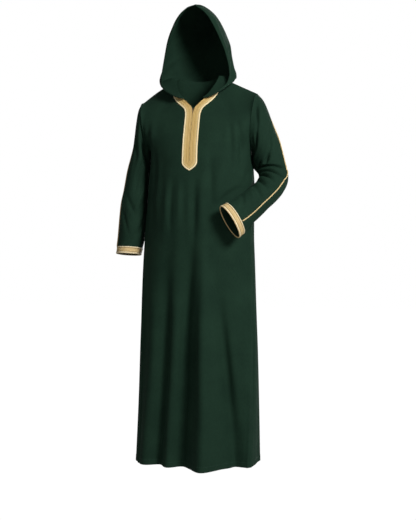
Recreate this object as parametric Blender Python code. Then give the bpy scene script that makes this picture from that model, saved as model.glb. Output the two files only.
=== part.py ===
"""Hooded djellaba robe in its worn shape: every cut piece is a thin wall of cloth round an empty hollow.

World frame, in millimetres until a mesh is made: +X is the wearer's left, -Y the front, +Z up.
The origin is the middle of the neck base, where the shoulders hold the robe.
"""
import bpy
import numpy as np

MM = 0.001
CLOTH = 1.6
SEAM_GAP = 0.3
HEM_Z = -1380.0
SLIT_TOP_Z = -1268.0
SLIT_OPEN = 5.0
TORSO_ROUNDNESS = 2.2
RING_SIDES = 20
PANEL_COLUMNS = 30
HOOD_COLUMNS = 12
NECKLINE_SHARE = 1 / 3

BAND_WIDTH = 25.0
PLACKET_HALF_WIDTH = 28.0
PLACKET_ARCH_Z = -288.0
PLACKET_TIP_Z = -320.0
BAND_LIFT = 1.0
CUFF_LIFT = 0.5
CUFF_WIDTH = 24.0
CORD_RADIUS = 2.0
CORD_LIFT = 0.9
UNDERARM_EASE = 1.1

# Torso sections: half-width to the wearer's right and left, depth in front and behind, side seam's turn
TORSO = np.array([
    # z, right, left, front, back, seam_forward_degrees
    (-238, 178, 198, 148, 118, 0),
    (-300, 181, 207, 153, 116, 1),
    (-385, 186, 209, 155, 110, 2),
    (-470, 191, 208, 154, 112, 4),
    (-545, 196, 207, 150, 118, 6),
    (-640, 203, 210, 146, 126, 8),
    (-780, 212, 214, 138, 134, 11),
    (-920, 218, 218, 132, 140, 14),
    (-1150, 226, 218, 126, 148, 18),
    (-1380, 237, 215, 122, 155, 21),
], float)

LOWER_ROWS = (-270, -310, -350, -400, -455, -510, -570, -640, -720, -810, -900, -990, -1080, -1160,
              -1220, SLIT_TOP_Z, -1325, HEM_Z)

# Folds that hang from the waist. Angles go round the body: 0 front, 90 wearer's left, 180 back
HANGING_FOLDS = np.array([
    # angle_at_waist, angle_at_hem, half_width_degrees, depth_at_hem, start_z
    (13, 8.5, 8.5, 64, -410),
    (22, 19, 8.5, 26, -480),
    (1, -9, 7.5, -26, -400),
    (-12, -18, 8, 22, -500),
    (-19, -32, 8.5, -26, -440),
    (-35, -46, 11, 18, -560),
    (12, 47, 9, -24, -470),
    (58, 62, 10, 15, -640),
    (118, 112, 10, 20, -560),
    (134, 132, 9, -24, -600),
    (150, 153, 10, 34, -480),
    (165, 170, 9, -26, -420),
    (182, 187, 10, 42, -460),
    (200, 205, 9, -24, -520),
    (217, 222, 10, 30, -480),
    (236, 238, 10, -20, -600),
], float)

# Shorter creases on the front and back: from and to in x and z, depth and half-width
FRONT_CREASES = np.array([
    # x0, z0, x1, z1, depth, half_width
    (-112, -215, -150, -560, -8, 17),
    (-75, -330, -95, -620, 6, 20),
    (120, -170, 96, -330, -7, 16),
    (60, -520, 84, -760, -6, 16),
    (-140, -120, -120, -215, -5, 14),
], float)
BACK_CREASES = np.array([
    (-95, -150, -70, -420, -8, 20),
    (100, -140, 70, -400, -8, 20),
    (8, -240, 0, -520, 7, 24),
    (-140, -330, -118, -640, -7, 20),
    (135, -330, 120, -620, -7, 20),
], float)

# The neckline, from the point of the V over the side of the neck to the nape
NECKLINE = np.array([
    # x, y, z
    (0, -86, -90),
    (24, -80, -64),
    (50, -66, -38),
    (70, -40, 2),
    (78, -2, 40),
    (64, 42, 44),
    (34, 69, 38),
    (0, 77, 35),
], float)
RIGHT_NECK_DROP = 10.0
# How far the shoulder seam rises above a straight line, to the wearer's right and left
SHOULDER_BOW = (7.0, -1.0)

# Sleeves: outer rail, inner rail and half-depth of each ring, from the armhole to the mouth
RIGHT_SLEEVE = np.array([
    # outer x, y, z, inner x, y, z, half_depth
    (-212, 0, -50, -178, 0, -235, 78),
    (-225, 0, -78, -180, 0, -243, 75),
    (-234, 0, -125, -181, 0, -256, 71),
    (-242, 0, -180, -182, 0, -275, 68),
    (-251, -2, -235, -183, -1, -298, 66),
    (-268, -5, -305, -186, -3, -335, 64),
    (-280, -8, -375, -189, -5, -388, 62),
    (-290, -11, -425, -192, -7, -430, 61),
    (-295, -13, -475, -195, -10, -478, 60),
    (-300, -16, -545, -202, -14, -545, 60),
    (-303, -18, -580, -210, -17, -580, 60),
    (-306, -20, -612, -219, -20, -614, 60),
], float)
LEFT_SLEEVE = np.array([
    (220, 0, -29, 198, 0, -228, 78),
    (243, 0, -56, 201, 0, -238, 75),
    (261, 0, -96, 203, 0, -250, 71),
    (284, 2, -162, 206, 1, -267, 67),
    (308, 4, -227, 209, 0, -287, 63),
    (324, 6, -291, 214, -7, -306, 58),
    (333, 1, -338, 229, -24, -325, 53),
    (326, -21, -380, 229, -52, -347, 50),
    (301, -56, -422, 213, -90, -375, 47),
    (263, -98, -467, 186, -130, -404, 43),
    (221, -135, -513, 157, -165, -428, 40),
    (201, -150, -536, 140, -179, -439, 39),
    (180, -164, -557, 123, -192, -450, 38),
], float)

# Where the cord lies on each sleeve: ring number and turn from the outer rail towards the front
RIGHT_CORD_TURN = np.array([(0, -34), (1, -32), (2, -22), (3, -6), (4, 5), (6, 12), (8, 20), (11, 27)], float)
LEFT_CORD_TURN = np.array([
    # ring, turn
    (0, -36), (1, -34), (2, -28), (3, -12), (4, 11), (5, 19), (6, 30), (7, 52), (8, 60), (10, 68), (12, 75),
], float)

# Hood rows from the neckline to the crown: free front edge, widest point, point on the centre seam
HOOD = np.array([
    # edge x, y, z, side x, y, z, seam y, z
    (22, -81, -60, 78, -2, 40, 77, 35),
    (50, -84, -48, 104, 5, 42, 98, 33),
    (80, -80, -32, 128, 8, 36, 114, 38),
    (103, -68, -14, 141, 10, 32, 123, 54),
    (119, -52, 4, 142, 12, 50, 127, 75),
    (127, -36, 32, 136, 14, 74, 128, 98),
    (126, -26, 62, 131, 16, 98, 129, 122),
    (120, -22, 92, 126, 18, 122, 131, 147),
    (110, -26, 128, 121, 20, 148, 134, 172),
    (97, -38, 163, 113, 22, 176, 138, 198),
    (81, -45, 200, 103, 22, 204, 143, 223),
    (62, -48, 236, 90, 20, 232, 147, 248),
    (52, -52, 252, 79, 16, 251, 144, 272),
    (40, -56, 266, 65, 10, 269, 104, 296),
    (28, -60, 276, 47, 2, 284, 52, 308),
    (14, -64, 285, 26, -14, 296, 4, 309),
    (0, -66, 290, 0, -52, 296, -36, 301),
], float)
HOOD_SHIFT = -6.0
HOOD_FORWARD = 3.0

# How far the hood's foot stands above the neckline, so that it clears the neck band's arms
HOOD_LIFT = np.array([
    # column, lift
    (0, 5.2),
    (2, 4.4),
    (4, 1.2),
    (6, 0.8),
    (12, 0.8),
], float)

COLOURS = {
    "cloth": (0.012, 0.028, 0.018),
    "braid": (0.60, 0.44, 0.21),
}


def smooth_curve(stations, values, at):
    """Cubic Hermite curve through the values, with slopes from each station's neighbours."""
    stations = np.asarray(stations, float)
    values = np.asarray(values, float)
    at = np.asarray(at, float)
    slopes = np.gradient(values, stations, axis=0)
    k = np.clip(np.searchsorted(stations, at) - 1, 0, len(stations) - 2)
    span = stations[k + 1] - stations[k]
    t = (at - stations[k]) / span
    if values.ndim > 1:
        t, span = t[..., None], span[..., None]
    return (
        (2 * t**3 - 3 * t**2 + 1) * values[k]
        + (t**3 - 2 * t**2 + t) * span * slopes[k]
        + (3 * t**2 - 2 * t**3) * values[k + 1]
        + (t**3 - t**2) * span * slopes[k + 1]
    )


def unit(vectors):
    return vectors / np.maximum(np.linalg.norm(vectors, axis=-1, keepdims=True), 1e-9)


def torso_ring(z, degrees):
    """Points round the body: a superellipse whose four half-axes come from the torso table at each height,
    pushed out along its own normal by the hanging folds."""
    z, degrees = np.broadcast_arrays(np.asarray(z, float), np.asarray(degrees, float))
    right, left, front, back = smooth_curve(-TORSO[:, 0], TORSO[:, 1:5], -z).transpose(-1, *range(z.ndim))
    s, c = np.sin(np.radians(degrees)), np.cos(np.radians(degrees))
    width = np.where(s > 0, left, right)
    depth = np.where(c > 0, front, back)
    power = 2 / TORSO_ROUNDNESS
    x = width * np.sign(s) * np.abs(s) ** power
    y = -depth * np.sign(c) * np.abs(c) ** power
    outward = unit(np.stack([s / width, -c / depth], -1))
    push = hanging_push(z, degrees)
    return np.stack([x + push * outward[..., 0], y + push * outward[..., 1], z], -1)


def hanging_push(z, degrees):
    """Sum of round ridges and troughs that start below the chest and deepen towards the hem."""
    push = np.zeros(z.shape)
    for at_waist, at_hem, half_width, depth, start in HANGING_FOLDS:
        fall = np.clip((start - z) / (start - HEM_Z), 0, 1)
        middle = at_waist + (at_hem - at_waist) * fall
        off = (degrees - middle + 180) % 360 - 180
        push += depth * fall * np.exp(-((off / half_width) ** 2))
    return push


def armhole(sleeve, turns):
    """The first ring of a sleeve, at turns in degrees from its top through the front."""
    return ring(sleeve[0, :3], sleeve[0, 3:6], np.array([0, -1.0, 0]) * sleeve[0, 6], turns)


def ring(outer, inner, depth, turns):
    """Ellipse through an outer point and an inner point, with the depth vector as its other half-axis."""
    t = np.radians(turns)[..., None]
    return (outer + inner) / 2 + (outer - inner) / 2 * np.cos(t) + depth * np.sin(t)


def neckline(side, part):
    """Points on one side of the neckline: part 0 is the V, 1 the highest shoulder point, 2 the nape."""
    length = np.concatenate([[0], np.cumsum(np.linalg.norm(np.diff(NECKLINE, axis=0), axis=1))])
    part = np.asarray(part, float)
    at = np.where(part < 1, part * length[4], length[4] + (part - 1) * (length[-1] - length[4]))
    points = smooth_curve(length, NECKLINE, at)
    if side < 0:
        points[..., 2] -= RIGHT_NECK_DROP * np.sin(np.clip(part, 0, 2) * np.pi / 2) ** 2
    return points * np.array([side, 1, 1])


def top_edge(across, back):
    """Upper edge of the front or back panel: shoulder seam, neckline, shoulder seam."""
    share = (1 - NECKLINE_SHARE) / 2
    points = np.zeros((len(across), 3))
    for i, u in enumerate(across):
        side = -1 if u < 0.5 else 1
        from_tip = min(u, 1 - u)
        if from_tip <= share:
            tip = (RIGHT_SLEEVE if side < 0 else LEFT_SLEEVE)[0, :3]
            neck = neckline(side, 1.0)
            points[i] = tip + (neck - tip) * from_tip / share
            points[i, 2] += SHOULDER_BOW[side > 0] * np.sin(np.pi * from_tip / share)
        else:
            part = (0.5 - from_tip) / (0.5 - share)
            points[i] = neckline(side, 2 - part if back else part)
    return points


def panel_grid(back):
    """Front or back panel from the hem to the shoulders, a row for each height.

    Below the arms the rows are torso rings. Above, they pass through a row across the chest or the shoulder
    blades to the top edge, and bend at their ends to meet the armholes. The upper rows are then relaxed.
    """
    face = 180.0 if back else 0.0
    across = np.linspace(0, 1, PANEL_COLUMNS + 1)
    lower = []
    for z in LOWER_ROWS[::-1]:
        turn = smooth_curve(-TORSO[:, 0], TORSO[:, 5], -z)
        reach = 90 + turn if back else 90 - turn
        lower.append(torso_ring(z, face + (2 * across - 1) * reach * (-1 if back else 1)))
    lower = np.array(lower)
    steps = RING_SIDES // 4
    under = torso_ring(TORSO[0, 0], face + (2 * across - 1) * 90 * (-1 if back else 1))
    ends = np.abs(2 * across - 1) ** 4
    under_z = np.where(across < 0.5, RIGHT_SLEEVE[0, 5], LEFT_SLEEVE[0, 5])
    under[:, 2] += (under_z - TORSO[0, 0]) * ends
    top = top_edge(across, back)
    turns = np.linspace(180, 0, 2 * steps + 1) * (-1 if back else 1)
    arms = [armhole(sleeve, turns) for sleeve in (RIGHT_SLEEVE, LEFT_SLEEVE)]
    middle_y, middle_z = (104, -95) if back else (-121, -168)
    blend = across[:, None]
    chest = arms[0][steps] * (1 - blend) + arms[1][steps] * blend
    bow = np.sin(np.pi * across) ** 1.1
    chest[:, 1] += (middle_y - chest[PANEL_COLUMNS // 2, 1]) * bow
    chest[:, 2] += (middle_z - chest[PANEL_COLUMNS // 2, 2]) * bow
    chest[:, 0] = arms[0][steps][0] + (under[:, 0] - under[0, 0]) / (under[-1, 0] - under[0, 0]) * (
        arms[1][steps][0] - arms[0][steps][0])
    upper = []
    for k in range(2 * steps + 1):
        low, high, v = (under, chest, k / steps) if k <= steps else (chest, top, k / steps - 1)
        row = low * (1 - v) + high * v
        for end, arm in zip((across, 1 - across), arms):
            straight = row[0] if end is across else row[-1]
            near = np.clip(1 - end / 0.3, 0, 1)[:, None] ** 2
            row = row + (arm[k] - straight) * near
        upper.append(row)
    grid = np.concatenate([lower, np.array(upper)])
    first = len(lower) - 3
    for _ in range(6):
        middle = (grid[first:-2, 1:-1] + grid[first + 2:, 1:-1]) / 4 + (
            grid[first + 1:-1, :-2] + grid[first + 1:-1, 2:]) / 4
        grid[first + 1:-1, 1:-1] += 0.6 * (middle - grid[first + 1:-1, 1:-1])
    return crease(grid, BACK_CREASES if back else FRONT_CREASES, 1 if back else -1)


def crease(grid, table, outward):
    """Soft troughs and ridges along straight lines in x and z, tapered at both ends, pushed along y."""
    grid = grid.copy()
    x, z = grid[..., 0], grid[..., 2]
    for x0, z0, x1, z1, depth, half_width in table:
        along = np.array([x1 - x0, z1 - z0])
        length = np.hypot(*along)
        t = ((x - x0) * along[0] + (z - z0) * along[1]) / length**2
        off = ((x - x0) * along[1] - (z - z0) * along[0]) / length
        taper = np.where((t > 0) & (t < 1), np.sin(np.pi * np.clip(t, 0, 1)), 0)
        grid[1:-1, 1:-1, 1] += (outward * depth * taper * np.exp(-((off / half_width) ** 2)))[1:-1, 1:-1]
    return grid


def sleeve_grid(table, side):
    """Rings from the armhole to the mouth, each with its depth square to its rails and to the sleeve's run."""
    middles = (table[:, :3] + table[:, 3:6]) / 2
    run = unit(np.gradient(middles, axis=0))
    depth = unit(np.cross(table[:, :3] - table[:, 3:6], run)) * -side
    depth[0] = (0, -1, 0)
    turns = np.linspace(0, 360, RING_SIDES + 1)
    return np.array([
        ring(row[:3], row[3:6], d * row[6], turns)
        for row, d in zip(table, depth)
    ])


def hood_grid(side):
    """Rows from the free edge to the centre seam: two quarter ellipses that meet at the widest point."""
    half = HOOD_COLUMNS // 2
    t = np.radians(np.linspace(0, 90, half + 1))[:, None]
    rows = []
    for k, (ex, ey, ez, sx, sy, sz, by, bz) in enumerate(HOOD):
        shift = HOOD_SHIFT * np.clip(k - 2, 0, 4) / 4
        edge = np.array([ex * side + shift * (k < len(HOOD) - 1), ey, ez])
        wide = np.array([sx * side + shift * (k < len(HOOD) - 1), sy, sz])
        seam = np.array([0, by, bz])
        forward = np.hstack([
            edge[0] + (wide[0] - edge[0]) * np.sin(t),
            wide[1] + (edge[1] - wide[1]) * np.cos(t),
            wide[2] + (edge[2] - wide[2]) * np.cos(t),
        ])
        rear = np.hstack([
            wide[0] * np.cos(t),
            wide[1] + (seam[1] - wide[1]) * np.sin(t),
            wide[2] + (seam[2] - wide[2]) * np.sin(t),
        ])
        rows.append(np.vstack([forward, rear[1:]]))
    grid = np.array(rows)
    parts = np.concatenate([np.linspace(0.27, 1, half + 1), np.linspace(1, 2, half + 1)[1:]])
    foot = neckline(side, parts)
    lift = np.interp(np.arange(HOOD_COLUMNS + 1), HOOD_LIFT[:, 0], HOOD_LIFT[:, 1])
    foot[:, 2] += lift
    foot[:, 1] -= HOOD_FORWARD * np.clip(1 - np.arange(HOOD_COLUMNS + 1) / 5, 0, 1)
    grid[0] = foot
    grid[:, -1, 0] = 0
    return grid


def face_normals(grid):
    """Unit normal sums at each point of a grid from the cells round it, whose order sets their side."""
    cell = np.cross(grid[1:, 1:] - grid[:-1, :-1], grid[1:, :-1] - grid[:-1, 1:])
    total = np.zeros_like(grid)
    for rows in (slice(None, -1), slice(1, None)):
        for columns in (slice(None, -1), slice(1, None)):
            total[rows, columns] += cell
    return total


def shared_normals(grids):
    """Outward normals of all grids, averaged where their points meet, so that walls mitre at a seam."""
    points = np.concatenate([g.reshape(-1, 3) for g, _ in grids.values()])
    sums = np.concatenate([(unit(face_normals(g)) * flip).reshape(-1, 3) for g, flip in grids.values()])
    _, index = np.unique(np.round(points, 2), axis=0, return_inverse=True)
    index = index.reshape(-1)
    total = np.zeros((index.max() + 1, 3))
    np.add.at(total, index, sums)
    normals = unit(total)[index]
    result, start = {}, 0
    for name, (g, _) in grids.items():
        size = g.shape[0] * g.shape[1]
        result[name] = normals[start:start + size].reshape(g.shape)
        start += size
    return result


def drawn_back(grid, row_ends=(0, 0), column_ends=(0, 0)):
    """Moves the edge points of a grid into it, square to the edge, by the given distances."""
    moved = grid.copy()
    for edge, inside, distance in (
        ((0, slice(None)), (1, slice(None)), row_ends[0]),
        ((-1, slice(None)), (-2, slice(None)), row_ends[1]),
        ((slice(None), 0), (slice(None), 1), column_ends[0]),
        ((slice(None), -1), (slice(None), -2), column_ends[1]),
    ):
        line = grid[edge]
        inward = grid[inside] - line
        along = unit(np.gradient(line, axis=0))
        inward -= along * np.sum(inward * along, axis=-1, keepdims=True)
        moved[edge] += unit(inward) * np.reshape(distance, (-1, 1))
    return moved


def wall_mesh(name, outer, inner, ring_closed=False):
    """Closed wall between two grids of the same shape, both cut along the same diagonals."""
    rows, columns = outer.shape[:2]
    if ring_closed:
        columns -= 1
        outer, inner = outer[:, :-1], inner[:, :-1]
    count = rows * columns
    index = np.arange(count).reshape(rows, columns)
    if ring_closed:
        index = np.hstack([index, index[:, :1]])
    a, b, c, d = index[:-1, :-1], index[:-1, 1:], index[1:, 1:], index[1:, :-1]
    sheet = np.concatenate([np.stack([a, b, c], -1).reshape(-1, 3), np.stack([a, c, d], -1).reshape(-1, 3)])
    faces = [sheet, sheet[:, ::-1] + count]
    edges = [index[0, ::-1], index[-1]]
    if not ring_closed:
        edges += [index[:, 0], index[::-1, -1]]
    for line in edges:
        p, q = line[:-1], line[1:]
        faces += [np.stack([p, q, p + count], -1), np.stack([q, q + count, p + count], -1)]
    faces = np.concatenate(faces)
    points = np.concatenate([outer.reshape(-1, 3), inner.reshape(-1, 3)])
    volume = np.sum(points[faces[:, 0]] * np.cross(points[faces[:, 1]], points[faces[:, 2]]))
    if volume < 0:
        faces = faces[:, ::-1]
    mesh = bpy.data.meshes.new(name)
    mesh.from_pydata((points * MM).tolist(), [], faces.tolist())
    mesh.shade_smooth()
    mesh.set_sharp_from_angle(angle=np.radians(50))
    return mesh


def cloth_piece(name, grid, normals, material, collection, thickness=CLOTH, ring_closed=False, **ends):
    """One cut piece: its outer grid and the same grid one thickness inside."""
    outer = drawn_back(grid, **ends)
    inner = outer - normals * thickness
    return add_object(name, wall_mesh(name, outer, inner, ring_closed), material, collection)


def add_object(name, mesh, material, collection):
    obj = bpy.data.objects.new(name, mesh)
    mesh.materials.append(material)
    collection.objects.link(obj)
    return obj


def lying_on(grid, normals, x, z, back=False):
    """Points and normals on a panel's facets at the given x and z: barycentric weights in the xz plane."""
    rows, columns = grid.shape[:2]
    index = np.arange(rows * columns).reshape(rows, columns)
    a, b, c, d = index[:-1, :-1], index[:-1, 1:], index[1:, 1:], index[1:, :-1]
    cells = np.concatenate([np.stack([a, b, c], -1).reshape(-1, 3), np.stack([a, c, d], -1).reshape(-1, 3)])
    points, directions = grid.reshape(-1, 3), normals.reshape(-1, 3)
    corner = points[cells][:, :, [0, 2]]
    e1, e2 = corner[:, 1] - corner[:, 0], corner[:, 2] - corner[:, 0]
    area = e1[:, 0] * e2[:, 1] - e1[:, 1] * e2[:, 0]
    area = np.where(np.abs(area) < 1e-6, 1e-6, area)
    target = np.stack([np.ravel(x), np.ravel(z)], -1)
    off = target[:, None] - corner[None, :, 0]
    w1 = (off[..., 0] * e2[:, 1] - off[..., 1] * e2[:, 0]) / area
    w2 = (e1[:, 0] * off[..., 1] - e1[:, 1] * off[..., 0]) / area
    weights = np.stack([1 - w1 - w2, w1, w2], -1)
    best = np.argmax(weights.min(-1), axis=1)
    chosen = np.take_along_axis(weights, best[:, None, None], 1)[:, 0]
    place = np.sum(points[cells[best]] * chosen[..., None], 1)
    normal = unit(np.sum(directions[cells[best]] * chosen[..., None], 1))
    return place.reshape(*np.shape(x), 3), normal.reshape(*np.shape(x), 3)


def band_outline(side):
    """Inner and outer line of half the neck band, from the end of its arm down to the tip, in x and z.

    The inner line follows the neckline to the V and then the centre. The outer line lies one band width
    outside it, runs down the side of the placket and closes in a pointed arch.
    """
    arm = neckline(side, np.linspace(0.56, 0.0, 8))
    inner = arm[:, [0, 2]].copy()
    inner[:, 0] *= side
    inner[:, 1] -= 0.8
    direction = unit(np.gradient(inner, axis=0))
    outer = inner + BAND_WIDTH * np.stack([-direction[:, 1], direction[:, 0]], -1)
    corner = np.array([PLACKET_HALF_WIDTH, inner[-1, 1] - 17.0])
    outer = outer[outer[:, 0] > PLACKET_HALF_WIDTH + 1]
    outer = np.vstack([outer, corner])
    count = len(arm)
    length = np.concatenate([[0], np.cumsum(np.linalg.norm(np.diff(outer, axis=0), axis=1))])
    at = np.linspace(0, length[-1], count)
    outer = np.stack([np.interp(at, length, outer[:, 0]), np.interp(at, length, outer[:, 1])], -1)
    down = np.linspace(corner[1], PLACKET_ARCH_Z, 12)[1:]
    inner_down = np.linspace(inner[-1, 1], PLACKET_ARCH_Z, 12)[1:]
    inner = np.vstack([inner, np.stack([np.zeros(11), inner_down], -1)])
    outer = np.vstack([outer, np.stack([np.full(11, PLACKET_HALF_WIDTH), down], -1)])
    turn = np.linspace(0, 1, 7)[1:]
    arch_z = PLACKET_ARCH_Z + (PLACKET_TIP_Z - PLACKET_ARCH_Z) * turn
    arch = np.stack([PLACKET_HALF_WIDTH * (1 - turn**1.7), arch_z], -1)
    arch[-1, 0] = 1.2
    centre = np.stack([np.zeros(6), PLACKET_ARCH_Z + (PLACKET_TIP_Z - PLACKET_ARCH_Z) * turn], -1)
    return np.vstack([inner, centre]), np.vstack([outer, arch])


def neck_band(name, side, front, normals, material, collection):
    inner_line, outer_line = band_outline(side)
    share = np.linspace(0, 1, 4)[None, :, None]
    flat = inner_line[:, None] * (1 - share) + outer_line[:, None] * share
    flat[..., 0] = np.maximum(flat[..., 0], SEAM_GAP / 2)
    place, normal = lying_on(front, normals, flat[..., 0] * side, flat[..., 1])
    outer = place + normal * (BAND_LIFT + CLOTH)
    inner = place + normal * BAND_LIFT
    outer[:, 0, 0] = np.where(inner_line[:, 0] < 0.2, side * SEAM_GAP / 2, outer[:, 0, 0])
    inner[:, 0, 0] = np.where(inner_line[:, 0] < 0.2, side * SEAM_GAP / 2, inner[:, 0, 0])
    return add_object(name, wall_mesh(name, outer, inner), material, collection)


def cuff_band(name, sleeve, normals, material, collection):
    """Ring round the sleeve's last stretch, moved out along the sleeve's own normals."""
    outer = sleeve[-2:].copy()
    run = unit(sleeve[-1] - sleeve[-2])
    direction = normals[-2:]
    outer[0] = sleeve[-1] - run * CUFF_WIDTH
    outer[1] = sleeve[-1] - run * 0.5
    direction[0] = direction[1]
    inner = outer + direction * CUFF_LIFT
    return add_object(name, wall_mesh(name, inner + direction * CLOTH, inner, True), material, collection)


def sleeve_cord(name, sleeve, normals, turns, material, collection):
    """Round cord along the sleeve, lying on its facets and ending just above the cuff band."""
    rings = np.linspace(0.12, len(sleeve) - 1, 44)
    rings = np.unique(np.concatenate([rings, np.arange(1.0, len(sleeve) - 1)]))
    lengths = np.linalg.norm(sleeve[-1] - sleeve[-2], axis=-1).mean()
    rings = rings[rings < len(sleeve) - 1 - (CUFF_WIDTH + 3) / lengths]
    degrees = smooth_curve(turns[:, 0], turns[:, 1], rings) % 360
    column = degrees / 360 * RING_SIDES
    k, j = rings.astype(int), column.astype(int)
    v, u = (rings - k)[:, None], (column - j)[:, None]

    def facet(values):
        low = values[k, j] * (1 - u) + values[k, j + 1] * u
        high = values[k + 1, j] * (1 - u) + values[k + 1, j + 1] * u
        return low * (1 - v) + high * v

    normal = unit(facet(normals))
    middle = facet(sleeve) + normal * (CORD_RADIUS + CORD_LIFT)
    run = unit(np.gradient(middle, axis=0))
    across = unit(np.cross(run, normal))
    t = np.radians(np.linspace(0, 360, 7))
    tube = middle[:, None] + CORD_RADIUS * (
        np.cos(t)[None, :, None] * np.cross(across, run)[:, None]
        + np.sin(t)[None, :, None] * across[:, None])
    return add_object(name, tube_mesh(name, tube), material, collection)


def tube_mesh(name, rings):
    """Closed tube through rings of points, with a flat cap at each end."""
    rows, sides = rings.shape[0], rings.shape[1] - 1
    points = rings[:, :-1].reshape(-1, 3)
    index = np.arange(rows * sides).reshape(rows, sides)
    index = np.hstack([index, index[:, :1]])
    a, b, c, d = index[:-1, :-1], index[:-1, 1:], index[1:, 1:], index[1:, :-1]
    faces = np.stack([a, b, c, d], -1).reshape(-1, 4).tolist()
    faces += [index[0, -2::-1].tolist(), index[-1, :-1].tolist()]
    mesh = bpy.data.meshes.new(name)
    mesh.from_pydata((points * MM).tolist(), [], faces)
    triangles = points[index[:-1, :-1].ravel()] - points[0]
    across = np.cross(points[index[1:, :-1].ravel()] - points[0], points[index[:-1, 1:].ravel()] - points[0])
    if np.sum(triangles * across) > 0:
        mesh.flip_normals()
    mesh.shade_smooth()
    return mesh


def cloth_material(name, colour, roughness):
    material = bpy.data.materials.new(name)
    material.use_nodes = True
    shader = material.node_tree.nodes["Principled BSDF"]
    shader.inputs["Base Color"].default_value = (*colour, 1)
    shader.inputs["Roughness"].default_value = roughness
    shader.inputs["Metallic"].default_value = 0
    material.diffuse_color = (*colour, 1)
    return material


def clear_scene():
    for obj in list(bpy.data.objects):
        bpy.data.objects.remove(obj)


def cloth(name):
    return cloth_material(name + "_cloth", COLOURS["cloth"], 0.85)


def braid(name):
    return cloth_material(name + "_braid", COLOURS["braid"], 0.5)


def main():
    clear_scene()
    collection = bpy.data.collections.new("djellaba_robe")
    bpy.context.scene.collection.children.link(collection)
    half = SEAM_GAP / 2

    grids = {
        "front": (panel_grid(False), 1),
        "back": (panel_grid(True), -1),
        "sleeve_right": (sleeve_grid(RIGHT_SLEEVE, -1), -1),
        "sleeve_left": (sleeve_grid(LEFT_SLEEVE, 1), 1),
    }
    normals = shared_normals(grids)
    hoods = {"hood_right": (hood_grid(-1), -1), "hood_left": (hood_grid(1), 1)}
    normals.update(shared_normals(hoods))

    for name in ("front", "back"):
        grid = grids[name][0]
        slit = np.interp(-grid[:, 0, 2], [-SLIT_TOP_Z, -HEM_Z], [half, SLIT_OPEN])
        slit[len(LOWER_ROWS):len(LOWER_ROWS) + 3] = UNDERARM_EASE
        cloth_piece(name, grid, normals[name], cloth(name), collection,
                    row_ends=(0, half), column_ends=(slit, slit))
    for name in ("sleeve_right", "sleeve_left"):
        cloth_piece(name, grids[name][0], normals[name], cloth(name),
                    collection, ring_closed=True, row_ends=(half, 0))
    for name, (grid, _) in hoods.items():
        cloth_piece(name, grid, normals[name], cloth(name), collection,
                    column_ends=(0, half))
    for word, side in (("right", -1), ("left", 1)):
        sleeve, direction = grids["sleeve_" + word][0], normals["sleeve_" + word]
        neck_band("neck_band_" + word, side, grids["front"][0], normals["front"],
                  braid("neck_band_" + word), collection)
        cuff_band("cuff_band_" + word, sleeve, direction.copy(),
                  braid("cuff_band_" + word), collection)
        sleeve_cord("sleeve_cord_" + word, sleeve, direction, RIGHT_CORD_TURN if side < 0 else LEFT_CORD_TURN,
                    braid("sleeve_cord_" + word), collection)


main()
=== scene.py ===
"""Hooded djellaba robe, dressed: fine cloth shells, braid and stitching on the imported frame.

World frame: +X is the wearer's left, -Y the front, +Z up, the origin at the middle of the neck base.
Surfaces are worked out in millimetres and turned to metres when a mesh is made.
"""

import bpy
import numpy as np
from mathutils import Matrix, Vector


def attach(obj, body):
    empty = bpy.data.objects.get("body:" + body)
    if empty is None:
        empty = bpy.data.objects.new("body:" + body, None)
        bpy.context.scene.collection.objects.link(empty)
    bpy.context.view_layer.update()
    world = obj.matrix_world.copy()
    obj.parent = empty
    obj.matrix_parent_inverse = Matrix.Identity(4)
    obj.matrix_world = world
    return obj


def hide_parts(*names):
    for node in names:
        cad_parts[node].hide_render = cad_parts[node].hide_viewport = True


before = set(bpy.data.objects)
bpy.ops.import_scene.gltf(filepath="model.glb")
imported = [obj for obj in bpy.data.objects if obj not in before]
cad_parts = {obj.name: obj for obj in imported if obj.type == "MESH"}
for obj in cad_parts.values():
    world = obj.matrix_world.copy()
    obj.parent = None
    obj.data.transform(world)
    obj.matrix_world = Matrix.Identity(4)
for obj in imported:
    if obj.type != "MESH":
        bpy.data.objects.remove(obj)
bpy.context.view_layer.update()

MM = 0.001
HEM_Z = -1380.0
SLIT_TOP_Z = -1268.0
TORSO_ROUNDNESS = 2.2
PANEL_COLUMNS = 30
ARM_STEPS = 10
NECKLINE_SHARE = 1 / 3

CLOTH_THICK = 1.1
SEAM_GAP = 0.1
HEM_WIDTH = 22.0  # the robe's hem, turned under
HEM_RISE = 0.7
HOOD_HEM_WIDTH = 17.0
BAND_WIDTH = 25.0
PLACKET_HALF_WIDTH = 28.0
PLACKET_ARCH_Z = -288.0
PLACKET_TIP_Z = -320.0
BAND_LIFT = 0.3
CUFF_WIDTH = 24.0
CORD_RADIUS = 2.0
CORD_ROUND = 12.6  # the way round a cord

# Torso sections: half-width to the wearer's right and left, depth in front and behind, side seam's turn
TORSO = np.array([
    # z, right, left, front, back, seam_forward_degrees
    (-238, 178, 198, 148, 118, 0),
    (-300, 181, 207, 153, 116, 1),
    (-385, 186, 209, 155, 110, 2),
    (-470, 191, 208, 154, 112, 4),
    (-545, 196, 207, 150, 118, 6),
    (-640, 203, 210, 146, 126, 8),
    (-780, 212, 214, 138, 134, 11),
    (-920, 218, 218, 132, 140, 14),
    (-1150, 226, 218, 126, 148, 18),
    (-1380, 237, 215, 122, 155, 21),
], float)

LOWER_ROWS = (-270, -310, -350, -400, -455, -510, -570, -640, -720, -810, -900, -990, -1080, -1160,
              -1220, SLIT_TOP_Z, -1325, HEM_Z)

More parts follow.
